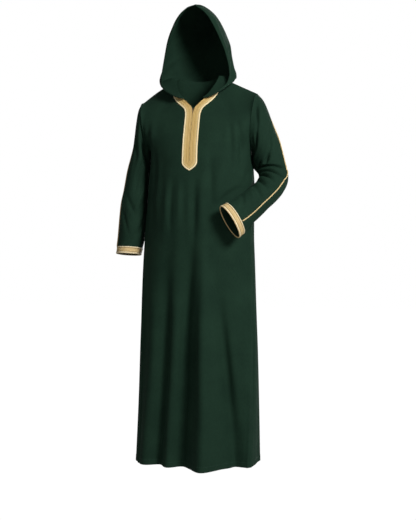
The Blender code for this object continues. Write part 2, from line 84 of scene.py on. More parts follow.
# Folds that hang from the waist. Angles go round the body: 0 front, 90 wearer's left, 180 back
HANGING_FOLDS = np.array([
    # angle_at_waist, angle_at_hem, half_width_degrees, depth_at_hem, start_z
    (13, 8.5, 8.5, 64, -410),
    (22, 19, 8.5, 26, -480),
    (1, -9, 7.5, -26, -400),
    (-12, -18, 8, 22, -500),
    (-19, -32, 8.5, -26, -440),
    (-35, -46, 11, 18, -560),
    (12, 47, 9, -24, -470),
    (58, 62, 10, 15, -640),
    (118, 112, 10, 20, -560),
    (134, 132, 9, -24, -600),
    (150, 153, 10, 34, -480),
    (165, 170, 9, -26, -420),
    (182, 187, 10, 42, -460),
    (200, 205, 9, -24, -520),
    (217, 222, 10, 30, -480),
    (236, 238, 10, -20, -600),
], float)

# Shorter creases on the front and back: from and to in x and z, depth and half-width
FRONT_CREASES = np.array([
    # x0, z0, x1, z1, depth, half_width
    (-112, -215, -150, -560, -8, 17),
    (-75, -330, -95, -620, 6, 20),
    (120, -170, 96, -330, -7, 16),
    (60, -520, 84, -760, -6, 16),
    (-140, -120, -120, -215, -5, 14),
], float)
BACK_CREASES = np.array([
    (-95, -150, -70, -420, -8, 20),
    (100, -140, 70, -400, -8, 20),
    (8, -240, 0, -520, 7, 24),
    (-140, -330, -118, -640, -7, 20),
    (135, -330, 120, -620, -7, 20),
], float)

# The neckline, from the point of the V over the side of the neck to the nape
NECKLINE = np.array([
    # x, y, z
    (0, -86, -90),
    (24, -80, -64),
    (50, -66, -38),
    (70, -40, 2),
    (78, -2, 40),
    (64, 42, 44),
    (34, 69, 38),
    (0, 77, 35),
], float)
# How much lower the neckline lies on the wearer's right
RIGHT_NECK_DROP = 10.0
# How far the shoulder seam rises above a straight line, to the wearer's right and left
SHOULDER_BOW = (7.0, -1.0)

# Sleeves: outer rail, inner rail and half-depth of each ring, from the armhole to the mouth
RIGHT_SLEEVE = np.array([
    # outer x, y, z, inner x, y, z, half_depth
    (-212, 0, -50, -178, 0, -235, 78),
    (-225, 0, -78, -180, 0, -243, 75),
    (-234, 0, -125, -181, 0, -256, 71),
    (-242, 0, -180, -182, 0, -275, 68),
    (-251, -2, -235, -183, -1, -298, 66),
    (-268, -5, -305, -186, -3, -335, 64),
    (-280, -8, -375, -189, -5, -388, 62),
    (-290, -11, -425, -192, -7, -430, 61),
    (-295, -13, -475, -195, -10, -478, 60),
    (-300, -16, -545, -202, -14, -545, 60),
    (-303, -18, -580, -210, -17, -580, 60),
    (-306, -20, -612, -219, -20, -614, 60),
], float)
LEFT_SLEEVE = np.array([
    (220, 0, -29, 198, 0, -228, 78),
    (243, 0, -56, 201, 0, -238, 75),
    (261, 0, -96, 203, 0, -250, 71),
    (284, 2, -162, 206, 1, -267, 67),
    (308, 4, -227, 209, 0, -287, 63),
    (324, 6, -291, 214, -7, -306, 58),
    (333, 1, -338, 229, -24, -325, 53),
    (326, -21, -380, 229, -52, -347, 50),
    (301, -56, -422, 213, -90, -375, 47),
    (263, -98, -467, 186, -130, -404, 43),
    (221, -135, -513, 157, -165, -428, 40),
    (201, -150, -536, 140, -179, -439, 39),
    (180, -164, -557, 123, -192, -450, 38),
], float)

# Where the cord lies on each sleeve: ring number and turn from the outer rail towards the front
RIGHT_CORD_TURN = np.array([
    # ring, turn
    (0, -34), (1, -32), (2, -22), (3, -6), (4, 5), (6, 12), (8, 20), (11, 27),
], float)
LEFT_CORD_TURN = np.array([
    (0, -36), (1, -34), (2, -28), (3, -12), (4, 11), (5, 19), (6, 30), (7, 52), (8, 60), (10, 68), (12, 75),
], float)

# Hood rows from the neckline to the crown: free front edge, widest point, point on the centre seam
HOOD = np.array([
    # edge x, y, z, side x, y, z, seam y, z
    (22, -81, -60, 78, -2, 40, 77, 35),
    (50, -84, -48, 104, 5, 42, 98, 33),
    (80, -80, -32, 128, 8, 36, 114, 38),
    (103, -68, -14, 141, 10, 32, 123, 54),
    (119, -52, 4, 142, 12, 50, 127, 75),
    (127, -36, 32, 136, 14, 74, 128, 98),
    (126, -26, 62, 131, 16, 98, 129, 122),
    (120, -22, 92, 126, 18, 122, 131, 147),
    (110, -26, 128, 121, 20, 148, 134, 172),
    (97, -38, 163, 113, 22, 176, 138, 198),
    (81, -45, 200, 103, 22, 204, 143, 223),
    (62, -48, 236, 90, 20, 232, 147, 248),
    (52, -52, 252, 79, 16, 251, 144, 272),
    (40, -56, 266, 65, 10, 269, 104, 296),
    (28, -60, 276, 47, 2, 284, 52, 308),
    (14, -64, 285, 26, -14, 296, 4, 309),
    (0, -66, 290, 0, -52, 296, -36, 301),
], float)
# How far the hood leans to the wearer's right, and how far the front of its foot stands forward
HOOD_SHIFT = -6.0
HOOD_FORWARD = 3.0

# How far the hood's foot stands above the neckline, so that it clears the neck band's arms
HOOD_LIFT = np.array([
    # column, lift
    (0, 5.2),
    (2, 4.4),
    (4, 1.2),
    (6, 0.8),
    (12, 0.8),
], float)

# Creases on the front, in x and z: sharp troughs are negative. The curve column bows the line sideways.
FINE_FRONT = np.array([
    # x0, z0, x1, z1, bow, depth, half_width
    (-165, -120, -168, -330, 6, -6.5, 9),
    (-150, -210, -135, -420, -8, -3.5, 10),
    (-118, -250, -128, -520, 4, 4.5, 12),
    (-60, -330, -74, -560, 4, -6.0, 10),
    (-34, -335, -42, -540, 0, 4.0, 9),
    (20, -330, 14, -600, 0, -5.5, 10),
    (46, -300, 46, -560, 0, 4.0, 12),
    (72, -210, 82, -470, 0, -5.0, 11),
    (108, -200, 104, -390, -6, 4.0, 13),
    (160, -120, 172, -300, -8, -5.0, 9),
    (136, -130, 140, -330, -5, -5.0, 9),
    (184, -170, 176, -345, 4, -4.0, 8),
    (186, -372, 96, -452, 8, -7.0, 9),
    (196, -300, 188, -372, 0, -4.0, 8),
    (14, -560, -24, -1120, 8, -8.0, 14),
    (-14, -1000, -36, -1372, 0, -7.5, 14),
    (50, -640, 54, -1260, 6, 7.0, 17),
    (88, -690, 138, -1260, -6, -5.5, 15),
    (116, -760, 172, -1300, -4, 4.5, 15),
    (-50, -690, -70, -1240, -8, 6.5, 15),
    (-86, -680, -112, -1240, -6, -6.0, 14),
    (-136, -760, -158, -1220, -5, 4.5, 15),
    (-176, -640, -190, -1120, 0, -3.5, 13),
    (172, -560, 184, -980, 0, -3.5, 12),
    (-80, -60, -140, -95, 6, -2.0, 12),
    (86, -66, 150, -110, -6, -2.0, 12),
], float)
FINE_BACK = np.array([
    (-160, -110, -150, -360, 8, -5.0, 10),
    (155, -110, 150, -340, -8, -5.0, 10),
    (-130, -130, -60, -300, -10, -3.0, 13),
    (125, -120, 64, -300, 10, -3.0, 13),
    (-30, -60, -24, -330, 4, 3.0, 14),
    (36, -90, 30, -380, -4, -3.0, 13),
    (-70, -420, -60, -800, 0, -4.0, 14),
    (84, -430, 90, -860, 0, 4.0, 14),
    (10, -520, 0, -900, 4, -4.5, 14),
    (-150, -600, -166, -1050, 0, 3.5, 15),
    (150, -560, 160, -1050, 0, -3.5, 13),
    (40, -620, 60, -1100, 4, 3.0, 12),
], float)
# Creases on the sleeves between two places: ring number, and turn from the outer rail through the front
RIGHT_CREASES = np.array([
    # ring0, turn0, ring1, turn1, depth, half_width
    (0.1, 56, 1.5, 150, -10, 6.5),
    (0.8, 130, 4.6, 170, -11, 7.5),
    (1.2, 84, 2.6, 158, -9, 6),
    (2.2, 100, 4.2, 150, -6, 7),
    (7.6, 168, 9.2, 130, -7, 8),
    (0.6, 118, 3.6, 140, -8.5, 8.5),
    (0.5, 80, 4.0, 108, 6.8, 10.4),
    (1.0, 60, 5.0, 80, -6.8, 9.5),
    (0.8, 36, 3.2, 48, -4.2, 8.5),
    (3.0, 130, 6.4, 96, -7.6, 9.5),
    (5.0, 150, 8.0, 104, 6.0, 9.5),
    (6.3, 60, 8.2, 120, -5.1, 8.5),
    (7.4, 40, 9.2, 100, -4.4, 7.6),
    (8.6, 130, 10.6, 70, -4.4, 7.6),
    (5.4, 30, 8.6, 48, 4.2, 11.4),
    (0.6, 245, 4.0, 220, -7.6, 9.5),
    (1.2, 290, 5.0, 260, 6.0, 11.4),
    (4.5, 210, 7.5, 270, -6.8, 9.5),
    (6.6, 300, 8.6, 230, -5.1, 8.5),
    (8.4, 250, 10.5, 300, -4.2, 8.5),
], float)
LEFT_CREASES = np.array([
    (0.5, 40, 1.9, 100, -14.4, 5.9),
    (1.6, 88, 3, 150, -14.4, 5.9),
    (0.8, 62, 2.4, 118, 5, 7),
    (0.9, 118, 2.6, 170, -9.6, 6.4),
    (2.4, 118, 4.4, 168, 4, 7),
    (2.6, 30, 4, 74, -9.6, 7.4),
    (3.6, 62, 5.2, 116, -12.8, 6.4),
    (2.8, 54, 4.8, 92, 4, 7),
    (4.4, 112, 5.3, 172, -9.6, 6.4),
    (5.2, 178, 5.9, 92, -16, 4.9),
    (5.8, 120, 5.5, 22, -12.8, 4.9),
    (5.6, 170, 6.2, 70, 4.5, 4.5),
    (6, 178, 6.9, 48, -14.4, 4.9),
    (6.4, 160, 7.2, 70, 3.5, 4.5),
    (6.5, 178, 7.5, 84, -12.8, 5.4),
    (7, 168, 8, 70, 3.5, 6),
    (7.3, 178, 8.2, 86, -11.2, 5.9),
    (8, 172, 9.1, 60, -8, 7.4),
    (8.6, 150, 9.8, 60, 3, 8),
    (9, 176, 10.2, 90, -4.5, 7),
    (6.2, 30, 7.6, -14, -8, 6.4),
    (7.4, 20, 9.2, -8, -6.4, 7.4),
    (8.6, 24, 10.6, 4, -5.6, 7.4),
    (9.6, 130, 11.2, 80, -3, 7),
    (0.6, 238, 4.2, 232, -8, 9),
    (0.8, 275, 4, 262, -7, 9),
    (4.8, 196, 5.8, 320, -8, 6),
    (5.6, 190, 6.4, 300, -8, 6),
    (6.4, 190, 7.4, 310, -7, 7),
    (7.6, 200, 9, 300, -5, 8),
    (2.0, 174, 4.6, 184, 9, 9),
    (3.4, 178, 5.3, 184, 6, 9),
], float)
# Creases on the hood between two places: row number, and share of the way from free edge to centre seam
HOOD_CREASES = np.array([
    # row0, share0, row1, share1, depth, half_width
    (1.4, 0.10, 3.4, 0.55, -4.5, 8),
    (2.4, 0.22, 5.0, 0.50, 4, 9),
    (3.2, 0.16, 6.2, 0.34, -4, 8),
    (1.2, 0.60, 3.6, 0.98, -4.5, 9),
    (4.4, 0.50, 7.6, 0.86, -4, 11),
    (6.0, 0.36, 9.4, 0.60, 3, 12),
    (8.6, 0.66, 12.0, 0.96, -3, 11),
    (9.4, 0.24, 12.4, 0.40, -2.2, 10),
    (2.0, 0.78, 4.4, 0.70, 4, 10),
    (7.4, 0.12, 11.0, 0.20, 1.8, 9),
], float)

# Which way the normals of each grid point: 1 as its cells give them, -1 turned round
OUTWARD = {"front": 1, "back": -1, "sleeve_right": -1, "sleeve_left": 1, "hood_right": -1, "hood_left": 1}
BAND_BASE = 0.9  # thickness of the braid between its cords
# The cuff's rim cord: its radius, and how far its middle lies outside the cloth's
RIM_RADIUS = 2.1
RIM_OUT = 0.9
CORD_STANDS = 0.9  # height of a sleeve cord's middle over the cloth, as a share of its radius
ARM_POINTS = 40  # points along one arm of the neck band's V
# How far the edges stand back from a side slit and from a sewn seam
SLIT_SHOWN = 0.9
SEAM_SHOWN = 0.02
# Width of what is turned in beside a slit and inside the hood, and how thick the hood's facing is
SLIT_FACING = 13.2
HOOD_FACING = 17.0
FACING_RISE = 1.3
# How far a row of stitches lies inside the edge of what it holds
HEM_STITCH_IN = 3.0
FACING_STITCH_IN = 3.0
HOOD_STITCH_IN = 2.5
# How deep a seam draws the cloth in, and how far from it
SIDE_SEAM = (1.7, 4.0)
HOOD_SEAM = (1.2, 6.0)
# Low ridge on the front where the seam allowance's edge shows through, from below the chest down
WELT_RISE = 3.4
WELT_FROM_SEAM = 27.0
WELT_REACH = 4.4
WELT_TOP_Z = -430.0
WELT_FADE = 60.0
# Fine points for each coarse one of the table: across, then along
PANEL_FINENESS = (5, 7)
SLEEVE_FINENESS = (7, 12)
HOOD_FINENESS = (48, 7)
# Points across and along half the neck band, rows of a cuff band, and sides and rings of a cord
BAND_FINENESS = (49, 300)
CUFF_ROWS = 40
CORD_FINENESS = (14, 260)
# Cords of the bands: distances from the outer edge or the upper rim, and how high each stands
BAND_CORDS = (
    (0.0, 5.6, 1.7), (6.6, 10.0, 1.0), (10.2, 13.6, 1.0), (14.6, 17.0, 0.55), (17.1, 19.5, 0.55),
    (19.6, 22.0, 0.55), (22.1, 24.5, 0.55), (24.6, 27.6, 0.7),
)
CUFF_CORDS = (
    (0.0, 4.6, 1.6), (5.4, 8.8, 0.8), (9.0, 12.0, 0.8), (12.2, 15.2, 0.8), (15.4, 18.6, 0.8),
    (19.4, 24.0, 1.6),
)
# Colours across the braid, by share of its width from the outer edge. The rim cord is painted lighter at
# its crest as a painted highlight. The grooves between cords and the centre slit are painted dark as
# painted shade. The other steps are the braid's own tones.
BAND_TONES_PAINTED_LIGHT = (
    (0.0, "#F3DBA6"), (0.10, "#FFEFC4"), (0.18, "#F6E0AC"), (0.215, "#8E6C34"), (0.26, "#E8CC90"),
    (0.33, "#E6C988"), (0.362, "#A07D40"), (0.39, "#E2C584"), (0.47, "#DFC07E"), (0.505, "#8A6830"),
    (0.54, "#DABB78"), (0.59, "#DABB78"), (0.62, "#BC9850"), (0.69, "#BC9850"), (0.72, "#E0C386"),
    (0.77, "#E0C386"), (0.80, "#B8944C"), (0.86, "#B8944C"), (0.89, "#DCBE7E"), (0.955, "#D6B570"),
    (0.975, "#5C4522"), (1.0, "#4A371B"),
)
# Cuff braid colours, mirrored about the middle: both rim cords are painted lighter as a painted highlight,
# and the grooves between the cords are painted dark as painted shade.
CUFF_TONES_PAINTED_LIGHT = (
    (0.0, "#F7E8C4"), (0.15, "#F3E0B6"), (0.19, "#9C7D46"), (0.25, "#9C7D46"), (0.28, "#E2C791"),
    (0.36, "#E2C791"), (0.38, "#B4935A"), (0.40, "#E2C791"), (0.48, "#E2C791"), (0.50, "#AB8A52"),
)
CUFF_TONES_PAINTED_LIGHT += tuple((round(1 - place, 2), tone) for place, tone in CUFF_TONES_PAINTED_LIGHT[-2::-1])
CORD_TONES = ((0.0, "#DFC58F"), (1.0, "#DFC58F"))
# The stage, in metres
FLOOR_Z = -1.56
FLOOR_HALF = 14.0
WORLD_STRENGTH = 0.19
FLOOR_GLOW = 1.0
# Name, place, what it points at, diameter in metres and power in watts
LIGHTS = (
    ("soft_key", (3.0, -2.9, 1.5), (0, 0, -0.5), 1.3, 206),
    ("soft_fill", (-2.6, -3.4, 0.4), (0, 0, -0.7), 2.6, 7),
    ("soft_back", (0.6, 4.2, 0.8), (0, 0, -0.6), 2.8, 90),
)
# The camera, in degrees and metres, and its lens in millimetres
CAMERA_TURN = 12.0
CAMERA_DISTANCE = 3.4
CAMERA_ASIDE = 0.035
CAMERA_HEIGHT = -0.636
CAMERA_LENS = 63.6


def smooth_curve(stations, values, at):
    """Cubic Hermite curve through the values, with slopes from each station's neighbours."""
    stations = np.asarray(stations, float)
    values = np.asarray(values, float)
    at = np.asarray(at, float)
    slopes = np.gradient(values, stations, axis=0)
    k = np.clip(np.searchsorted(stations, at) - 1, 0, len(stations) - 2)
    span = stations[k + 1] - stations[k]
    t = (at - stations[k]) / span
    if values.ndim > 1:
        t, span = t[..., None], span[..., None]
    return (
        (2 * t**3 - 3 * t**2 + 1) * values[k]
        + (t**3 - 2 * t**2 + t) * span * slopes[k]
        + (3 * t**2 - 2 * t**3) * values[k + 1]
        + (t**3 - t**2) * span * slopes[k + 1]
    )


def unit(vectors):
    """Vectors of length 1."""
    return vectors / np.maximum(np.linalg.norm(vectors, axis=-1, keepdims=True), 1e-9)


def bump(share):
    """0 at both ends and 1 in the middle, with soft ends, for a share from 0 to 1."""
    return np.sin(np.pi * np.clip(share, 0, 1)) ** 1.3


def smooth_step(share):
    """Cubic rise from 0 at share 0 to 1 at share 1, level at both ends."""
    t = np.clip(share, 0, 1)
    return t * t * (3 - 2 * t)


def hanging_push(z, degrees):
    """Sum of round ridges and troughs that start below the chest and deepen towards the hem."""
    push = np.zeros(z.shape)
    for at_waist, at_hem, half_width, depth, start in HANGING_FOLDS:
        fall = np.clip((start - z) / (start - HEM_Z), 0, 1)
        middle = at_waist + (at_hem - at_waist) * fall
        off = (degrees - middle + 180) % 360 - 180
        push += depth * fall * np.exp(-((off / half_width) ** 2))
    return push


def torso_ring(z, degrees):
    """Points round the body: a superellipse whose four half-axes come from the torso table at each height,
    pushed out along its own normal by the hanging folds."""
    z, degrees = np.broadcast_arrays(np.asarray(z, float), np.asarray(degrees, float))
    right, left, front, back = np.moveaxis(smooth_curve(-TORSO[:, 0], TORSO[:, 1:5], -z), -1, 0)
    s, c = np.sin(np.radians(degrees)), np.cos(np.radians(degrees))
    width = np.where(s > 0, left, right)
    depth = np.where(c > 0, front, back)
    power = 2 / TORSO_ROUNDNESS
    x = width * np.sign(s) * np.abs(s) ** power
    y = -depth * np.sign(c) * np.abs(c) ** power
    outward = unit(np.stack([s / width, -c / depth], -1))
    push = hanging_push(z, degrees)
    return np.stack([x + push * outward[..., 0], y + push * outward[..., 1], z], -1)


def ring(outer, inner, depth, turns):
    """Ellipse through an outer point and an inner point, with the depth vector as its other half-axis."""
    t = np.radians(turns)[..., None]
    return (outer + inner) / 2 + (outer - inner) / 2 * np.cos(t) + depth * np.sin(t)


def neckline(side, part):
    """Points on one side of the neckline: part 0 is the V, 1 the highest shoulder point, 2 the nape."""
    length = run_length(NECKLINE, 0)
    part = np.asarray(part, float)
    at = np.where(part < 1, part * length[4], length[4] + (part - 1) * (length[-1] - length[4]))
    points = smooth_curve(length, NECKLINE, at)
    if side < 0:
        points[..., 2] -= RIGHT_NECK_DROP * np.sin(np.clip(part, 0, 2) * np.pi / 2) ** 2
    return points * np.array([side, 1, 1])


def top_edge(across, back):
    """Upper edge of the front or back panel: shoulder seam, neckline, shoulder seam."""
    share = (1 - NECKLINE_SHARE) / 2
    from_tip = np.minimum(across, 1 - across)
    points = np.zeros((len(across), 3))
    for side, sleeve in ((-1, RIGHT_SLEEVE), (1, LEFT_SLEEVE)):
        mine = across < 0.5 if side < 0 else across >= 0.5
        along = np.clip(from_tip / share, 0, 1)
        part = np.clip((0.5 - from_tip) / (0.5 - share), 0, 1)
        tip, neck = sleeve[0, :3], neckline(side, 1.0)
        seam = tip + (neck - tip) * along[:, None]
        seam[:, 2] += SHOULDER_BOW[side > 0] * np.sin(np.pi * along)
        collar = neckline(side, 2 - part if back else part)
        edge = np.where((from_tip <= share)[:, None], seam, collar)
        points[mine] = edge[mine]
    return points


def panel_rows(across, levels, back):
    """Front or back panel on a grid: levels count rows from the hem (0) to the shoulders.

    Below the arms a level is a torso ring. Above, it passes through a row across the chest or the shoulder
    blades to the top edge, and its ends bend to meet the armholes.
    """
    face, way = (180.0, -1) if back else (0.0, 1)
    heights = np.array(LOWER_ROWS[::-1], float)
    count = len(heights)
    z = np.interp(levels, np.arange(count), heights)[:, None]
    turn = smooth_curve(-TORSO[:, 0], TORSO[:, 5], -z)
    reach = 90 + turn if back else 90 - turn
    lower = torso_ring(z + 0 * across, face + (2 * across - 1) * reach * way)
    under = torso_ring(TORSO[0, 0], face + (2 * across - 1) * 90 * way)
    under_z = np.where(across < 0.5, RIGHT_SLEEVE[0, 5], LEFT_SLEEVE[0, 5])
    under[:, 2] += (under_z - TORSO[0, 0]) * np.abs(2 * across - 1) ** 4
    top = top_edge(across, back)
    half = ARM_STEPS // 2

    def arm(sleeve, steps):
        turns = (180 - steps * 180 / ARM_STEPS) * way
        return ring(sleeve[0, :3], sleeve[0, 3:6], np.array([0, -1.0, 0]) * sleeve[0, 6], turns)

    ends = [arm(s, np.array([half])) for s in (RIGHT_SLEEVE, LEFT_SLEEVE)]
    middle_y, middle_z = (104, -95) if back else (-121, -168)
    blend = across[:, None]
    chest = ends[0] * (1 - blend) + ends[1] * blend
    bow = np.sin(np.pi * across) ** 1.1
    rest = (ends[0] + ends[1])[0] / 2
    chest[:, 1] += (middle_y - rest[1]) * bow
    chest[:, 2] += (middle_z - rest[2]) * bow
    share = (under[:, 0] - under[0, 0]) / (under[-1, 0] - under[0, 0])
    chest[:, 0] = ends[0][0, 0] + share * (ends[1][0, 0] - ends[0][0, 0])
    steps = np.clip(levels - count, 0, ARM_STEPS)[:, None, None]
    low = np.where(steps <= half, under, chest)
    high = np.where(steps <= half, chest, top)
    v = np.where(steps <= half, steps / half, steps / half - 1)
    upper = low * (1 - v) + high * v
    straight = upper[:, 0].copy(), upper[:, -1].copy()
    for end, sleeve, line in ((across, RIGHT_SLEEVE, straight[0]), (1 - across, LEFT_SLEEVE, straight[1])):
        near = np.clip(1 - end / 0.3, 0, 1)[None, :, None] ** 2
        upper += (arm(sleeve, steps[:, 0, 0]) - line)[:, None] * near
    join = np.clip(levels - (count - 1), 0, 1)[:, None, None]
    return lower * (1 - join) + upper * join


def relaxed(grid, first, rounds):
    """Each inner point above a row moves towards the mean of its four neighbours, so kinks ease out."""
    grid = grid.copy()
    for _ in range(rounds):
        middle = (grid[first:-2, 1:-1] + grid[first + 2:, 1:-1]) / 4 + (
            grid[first + 1:-1, :-2] + grid[first + 1:-1, 2:]) / 4
        grid[first + 1:-1, 1:-1] += 0.6 * (middle - grid[first + 1:-1, 1:-1])
    return grid


def sampled(field, rows, columns):
    """Field values between grid points: bilinear weights of the four corners of the cell."""
    i = np.clip(rows.astype(int), 0, field.shape[0] - 2)
    j = np.clip(columns.astype(int), 0, field.shape[1] - 2)
    v, u = (rows - i)[..., None], (columns - j)[..., None]
    return (field[i, j] * (1 - v) * (1 - u) + field[i, j + 1] * (1 - v) * u
            + field[i + 1, j] * v * (1 - u) + field[i + 1, j + 1] * v * u)


def panel_grid(back, columns_each, rows_each):
    """The panel's form on a fine grid. The coarse grid is relaxed as cloth would be, and its shift is
    carried over to the fine one, which is then eased again."""
    count = len(LOWER_ROWS)
    top = count + ARM_STEPS
    across, levels = np.linspace(0, 1, PANEL_COLUMNS + 1), np.arange(top + 1.0)
    coarse = panel_rows(across, levels, back)
    eased = relaxed(coarse, count - 3, 6)
    eased = crease(eased, BACK_CREASES if back else FRONT_CREASES, 1 if back else -1)
    fine_across = np.linspace(0, 1, PANEL_COLUMNS * columns_each + 1)
    fine_levels = np.linspace(0, top, top * rows_each + 1)
    fine = panel_rows(fine_across, fine_levels, back)
    place = np.meshgrid(fine_levels, fine_across * PANEL_COLUMNS, indexing="ij")
    fine += sampled(eased - coarse, *place)
    return relaxed(fine, (count - 6) * rows_each, 24)


def beside_line(grid, x0, z0, x1, z1):
    """How far along a line in x and z each point lies, as a share of it, and how far off it."""
    along = np.array([x1 - x0, z1 - z0])
    length = np.hypot(*along)
    x, z = grid[..., 0] - x0, grid[..., 2] - z0
    return (x * along[0] + z * along[1]) / length**2, (x * along[1] - z * along[0]) / length


def crease(grid, table, outward):
    """Soft troughs and ridges along straight lines in x and z, tapered at both ends, pushed along y."""
    grid = grid.copy()
    for *line, depth, half_width in table:
        share, off = beside_line(grid, *line)
        push = outward * depth * np.sin(np.pi * np.clip(share, 0, 1)) * np.exp(-((off / half_width) ** 2))
        grid[1:-1, 1:-1, 1] += push[1:-1, 1:-1]
    return grid


def fine_panel_creases(grid, normals, table):
    """Creases along bowed lines in x and z, pushed along the cloth's own normal. A trough is sharper than
    its shoulders: a narrow dip between two low swells."""
    push = np.zeros(grid.shape[:2])
    for *line, bow, depth, half_width in table:
        share, off = beside_line(grid, *line)
        off = off - bow * np.sin(np.pi * np.clip(share, 0, 1))
        push += depth * bump(share) * crease_profile(off / half_width)
    edge = np.minimum(np.arange(grid.shape[1]), np.arange(grid.shape[1])[::-1])
    push *= smooth_step(edge / 6)
    return grid + normals * push[..., None]


def crease_profile(off):
    """A narrow bell with a low dip the other way on each side."""
    return np.exp(-(off**2)) - 0.28 * np.exp(-((off - 2) ** 2)) - 0.28 * np.exp(-((off + 2) ** 2))


def surface_creases(grid, normals, table, place, fade):
    """Creases between two places on a grid: each pushes the cloth by its depth, falling off with the
    distance to a line of points on the surface. The fade holds the creases off the seams."""
    push = np.zeros(grid.shape[:2])
    for r0, c0, r1, c1, depth, half_width in table:
        t = np.linspace(0, 1, 26)
        line = sampled(grid, *place(r0 + (r1 - r0) * t, c0 + (c1 - c0) * t))
        away = np.linalg.norm(grid[:, :, None] - line, axis=-1)
        nearest = np.argmin(away, axis=-1)
        gap = np.take_along_axis(away, nearest[..., None], -1)[..., 0]
        push += depth * (0.12 + 0.88 * bump(t)[nearest]) * np.exp(-((gap / half_width) ** 2))
    return grid + normals * (push * fade)[..., None]


def sleeve_grid(table, side, columns_each, rows_each):
    """Rings from the armhole to the mouth. Rails follow smooth curves through the table's rows, and each
    ring's depth is square to its rails and to the sleeve's run."""
    middles = (table[:, :3] + table[:, 3:6]) / 2
    run = unit(np.gradient(middles, axis=0))
    depth = unit(np.cross(table[:, :3] - table[:, 3:6], run)) * -side
    depth[0] = (0, -1, 0)
    stations = np.arange(len(table))
    at = np.linspace(0, len(table) - 1, (len(table) - 1) * rows_each + 1)
    rows = smooth_curve(stations, np.hstack([table, depth]), at)
    turns = np.linspace(0, 360, 2 * ARM_STEPS * columns_each + 1)
    outer, inner, half = rows[:, None, :3], rows[:, None, 3:6], rows[:, None, 6:7]
    return ring(outer, inner, unit(rows[:, None, 7:]) * half, turns)


def hood_grid(side, columns_half, rows_each):
    """Rows from the free edge to the centre seam, each of two quarter ellipses that meet at the widest
    point. The lowest row is drawn to the neckline, and its shift fades out by the table's next row."""
    last = len(HOOD) - 1
    at = np.linspace(0, last, last * rows_each + 1)
    ex, ey, ez, sx, sy, sz, by, bz = smooth_curve(np.arange(last + 1), HOOD, at).T[:, :, None]
    shift = np.interp(at, [0, 2, 6, last - 1, last], [0, 0, HOOD_SHIFT, HOOD_SHIFT, 0])[:, None]
    t = np.radians(np.linspace(0, 90, columns_half + 1))[None]
    sin, cos = np.sin(t), np.cos(t)
    front_x, wide_x = ex * side + shift, sx * side + shift
    forward = np.stack([front_x + (wide_x - front_x) * sin, sy + (ey - sy) * cos, sz + (ez - sz) * cos], -1)
    rear = np.stack([wide_x * cos, sy + (by - sy) * sin, sz + (bz - sz) * sin], -1)
    grid = np.concatenate([forward, rear[:, 1:]], axis=1)
    grid[:, -1, 0] = 0
    columns = np.linspace(0, 12, 2 * columns_half + 1)
    foot = neckline(side, np.interp(columns, [0, 6, 12], [0.27, 1, 2]))
    foot[:, 2] += np.interp(columns, HOOD_LIFT[:, 0], HOOD_LIFT[:, 1])
    foot[:, 1] -= HOOD_FORWARD * np.clip(1 - columns / 5, 0, 1)
    fade = np.clip(1 - at, 0, 1)[:, None, None] ** 1.5
    return grid + (foot - grid[0]) * fade


def cell_normals(grid):
    """Normal sums at each point of a grid from the cells round it, whose order sets their side."""
    cell = unit(np.cross(grid[1:, 1:] - grid[:-1, :-1], grid[1:, :-1] - grid[:-1, 1:]))
    total = np.zeros_like(grid)
    for rows in (slice(None, -1), slice(1, None)):
        for columns in (slice(None, -1), slice(1, None)):
            total[rows, columns] += cell
    return total


def shared_normals(grids):
    """Outward normals of all grids, averaged where their points meet, so that seams mitre."""
    names = list(grids)
    points = np.concatenate([grids[n].reshape(-1, 3) for n in names])
    sums = np.concatenate([(cell_normals(grids[n]) * OUTWARD[n]).reshape(-1, 3) for n in names])
    _, index = np.unique(np.round(points, 2), axis=0, return_inverse=True)
    index = index.reshape(-1)
    total = np.stack([np.bincount(index, sums[:, k]) for k in range(3)], -1)
    normals = unit(total)[index]
    cuts = np.cumsum([0] + [grids[n].shape[0] * grids[n].shape[1] for n in names])
    return {n: normals[cuts[k]:cuts[k + 1]].reshape(grids[n].shape) for k, n in enumerate(names)}


def run_length(grid, axis):
    """Distance along a line of points, or along a grid's rows or columns, from their first point."""
    step = np.linalg.norm(np.diff(grid, axis=axis), axis=-1)
    zero = np.zeros_like(step[:1] if axis == 0 else step[:, :1])
    return np.concatenate([zero, np.cumsum(step, axis=axis)], axis=axis)


def cloth_uv(grid):
    """Metres along the weft and the warp, from the mean run of the grid's rows and columns."""
    warp = run_length(grid, 0).mean(1)
    weft = run_length(grid, 1).mean(0)
    return np.stack(np.broadcast_arrays(weft[None, :], warp[:, None]), -1) * MM


def drawn_back(grid, row_ends=(0, 0), column_ends=(0, 0)):
    """Moves the edge points of a grid into it, square to the edge, by the given distances."""
    moved = grid.copy()
    for edge, inside, distance in (
        ((0, slice(None)), (1, slice(None)), row_ends[0]),
        ((-1, slice(None)), (-2, slice(None)), row_ends[1]),
        ((slice(None), 0), (slice(None), 1), column_ends[0]),
        ((slice(None), -1), (slice(None), -2), column_ends[1]),
    ):
        line = grid[edge]
        inward = grid[inside] - line
        along = unit(np.gradient(line, axis=0))
        inward -= along * np.sum(inward * along, axis=-1, keepdims=True)
        moved[edge] += unit(inward) * np.reshape(distance, (-1, 1))
    return moved


def faces_in(points, quads):
    """Whether the faces of a closed mesh point inwards, from the sign of the volume inside them."""
    a, b, c, d = np.moveaxis(points[quads], 1, 0)
    return np.sum(a * np.cross(b, c)) + np.sum(a * np.cross(c, d)) < 0


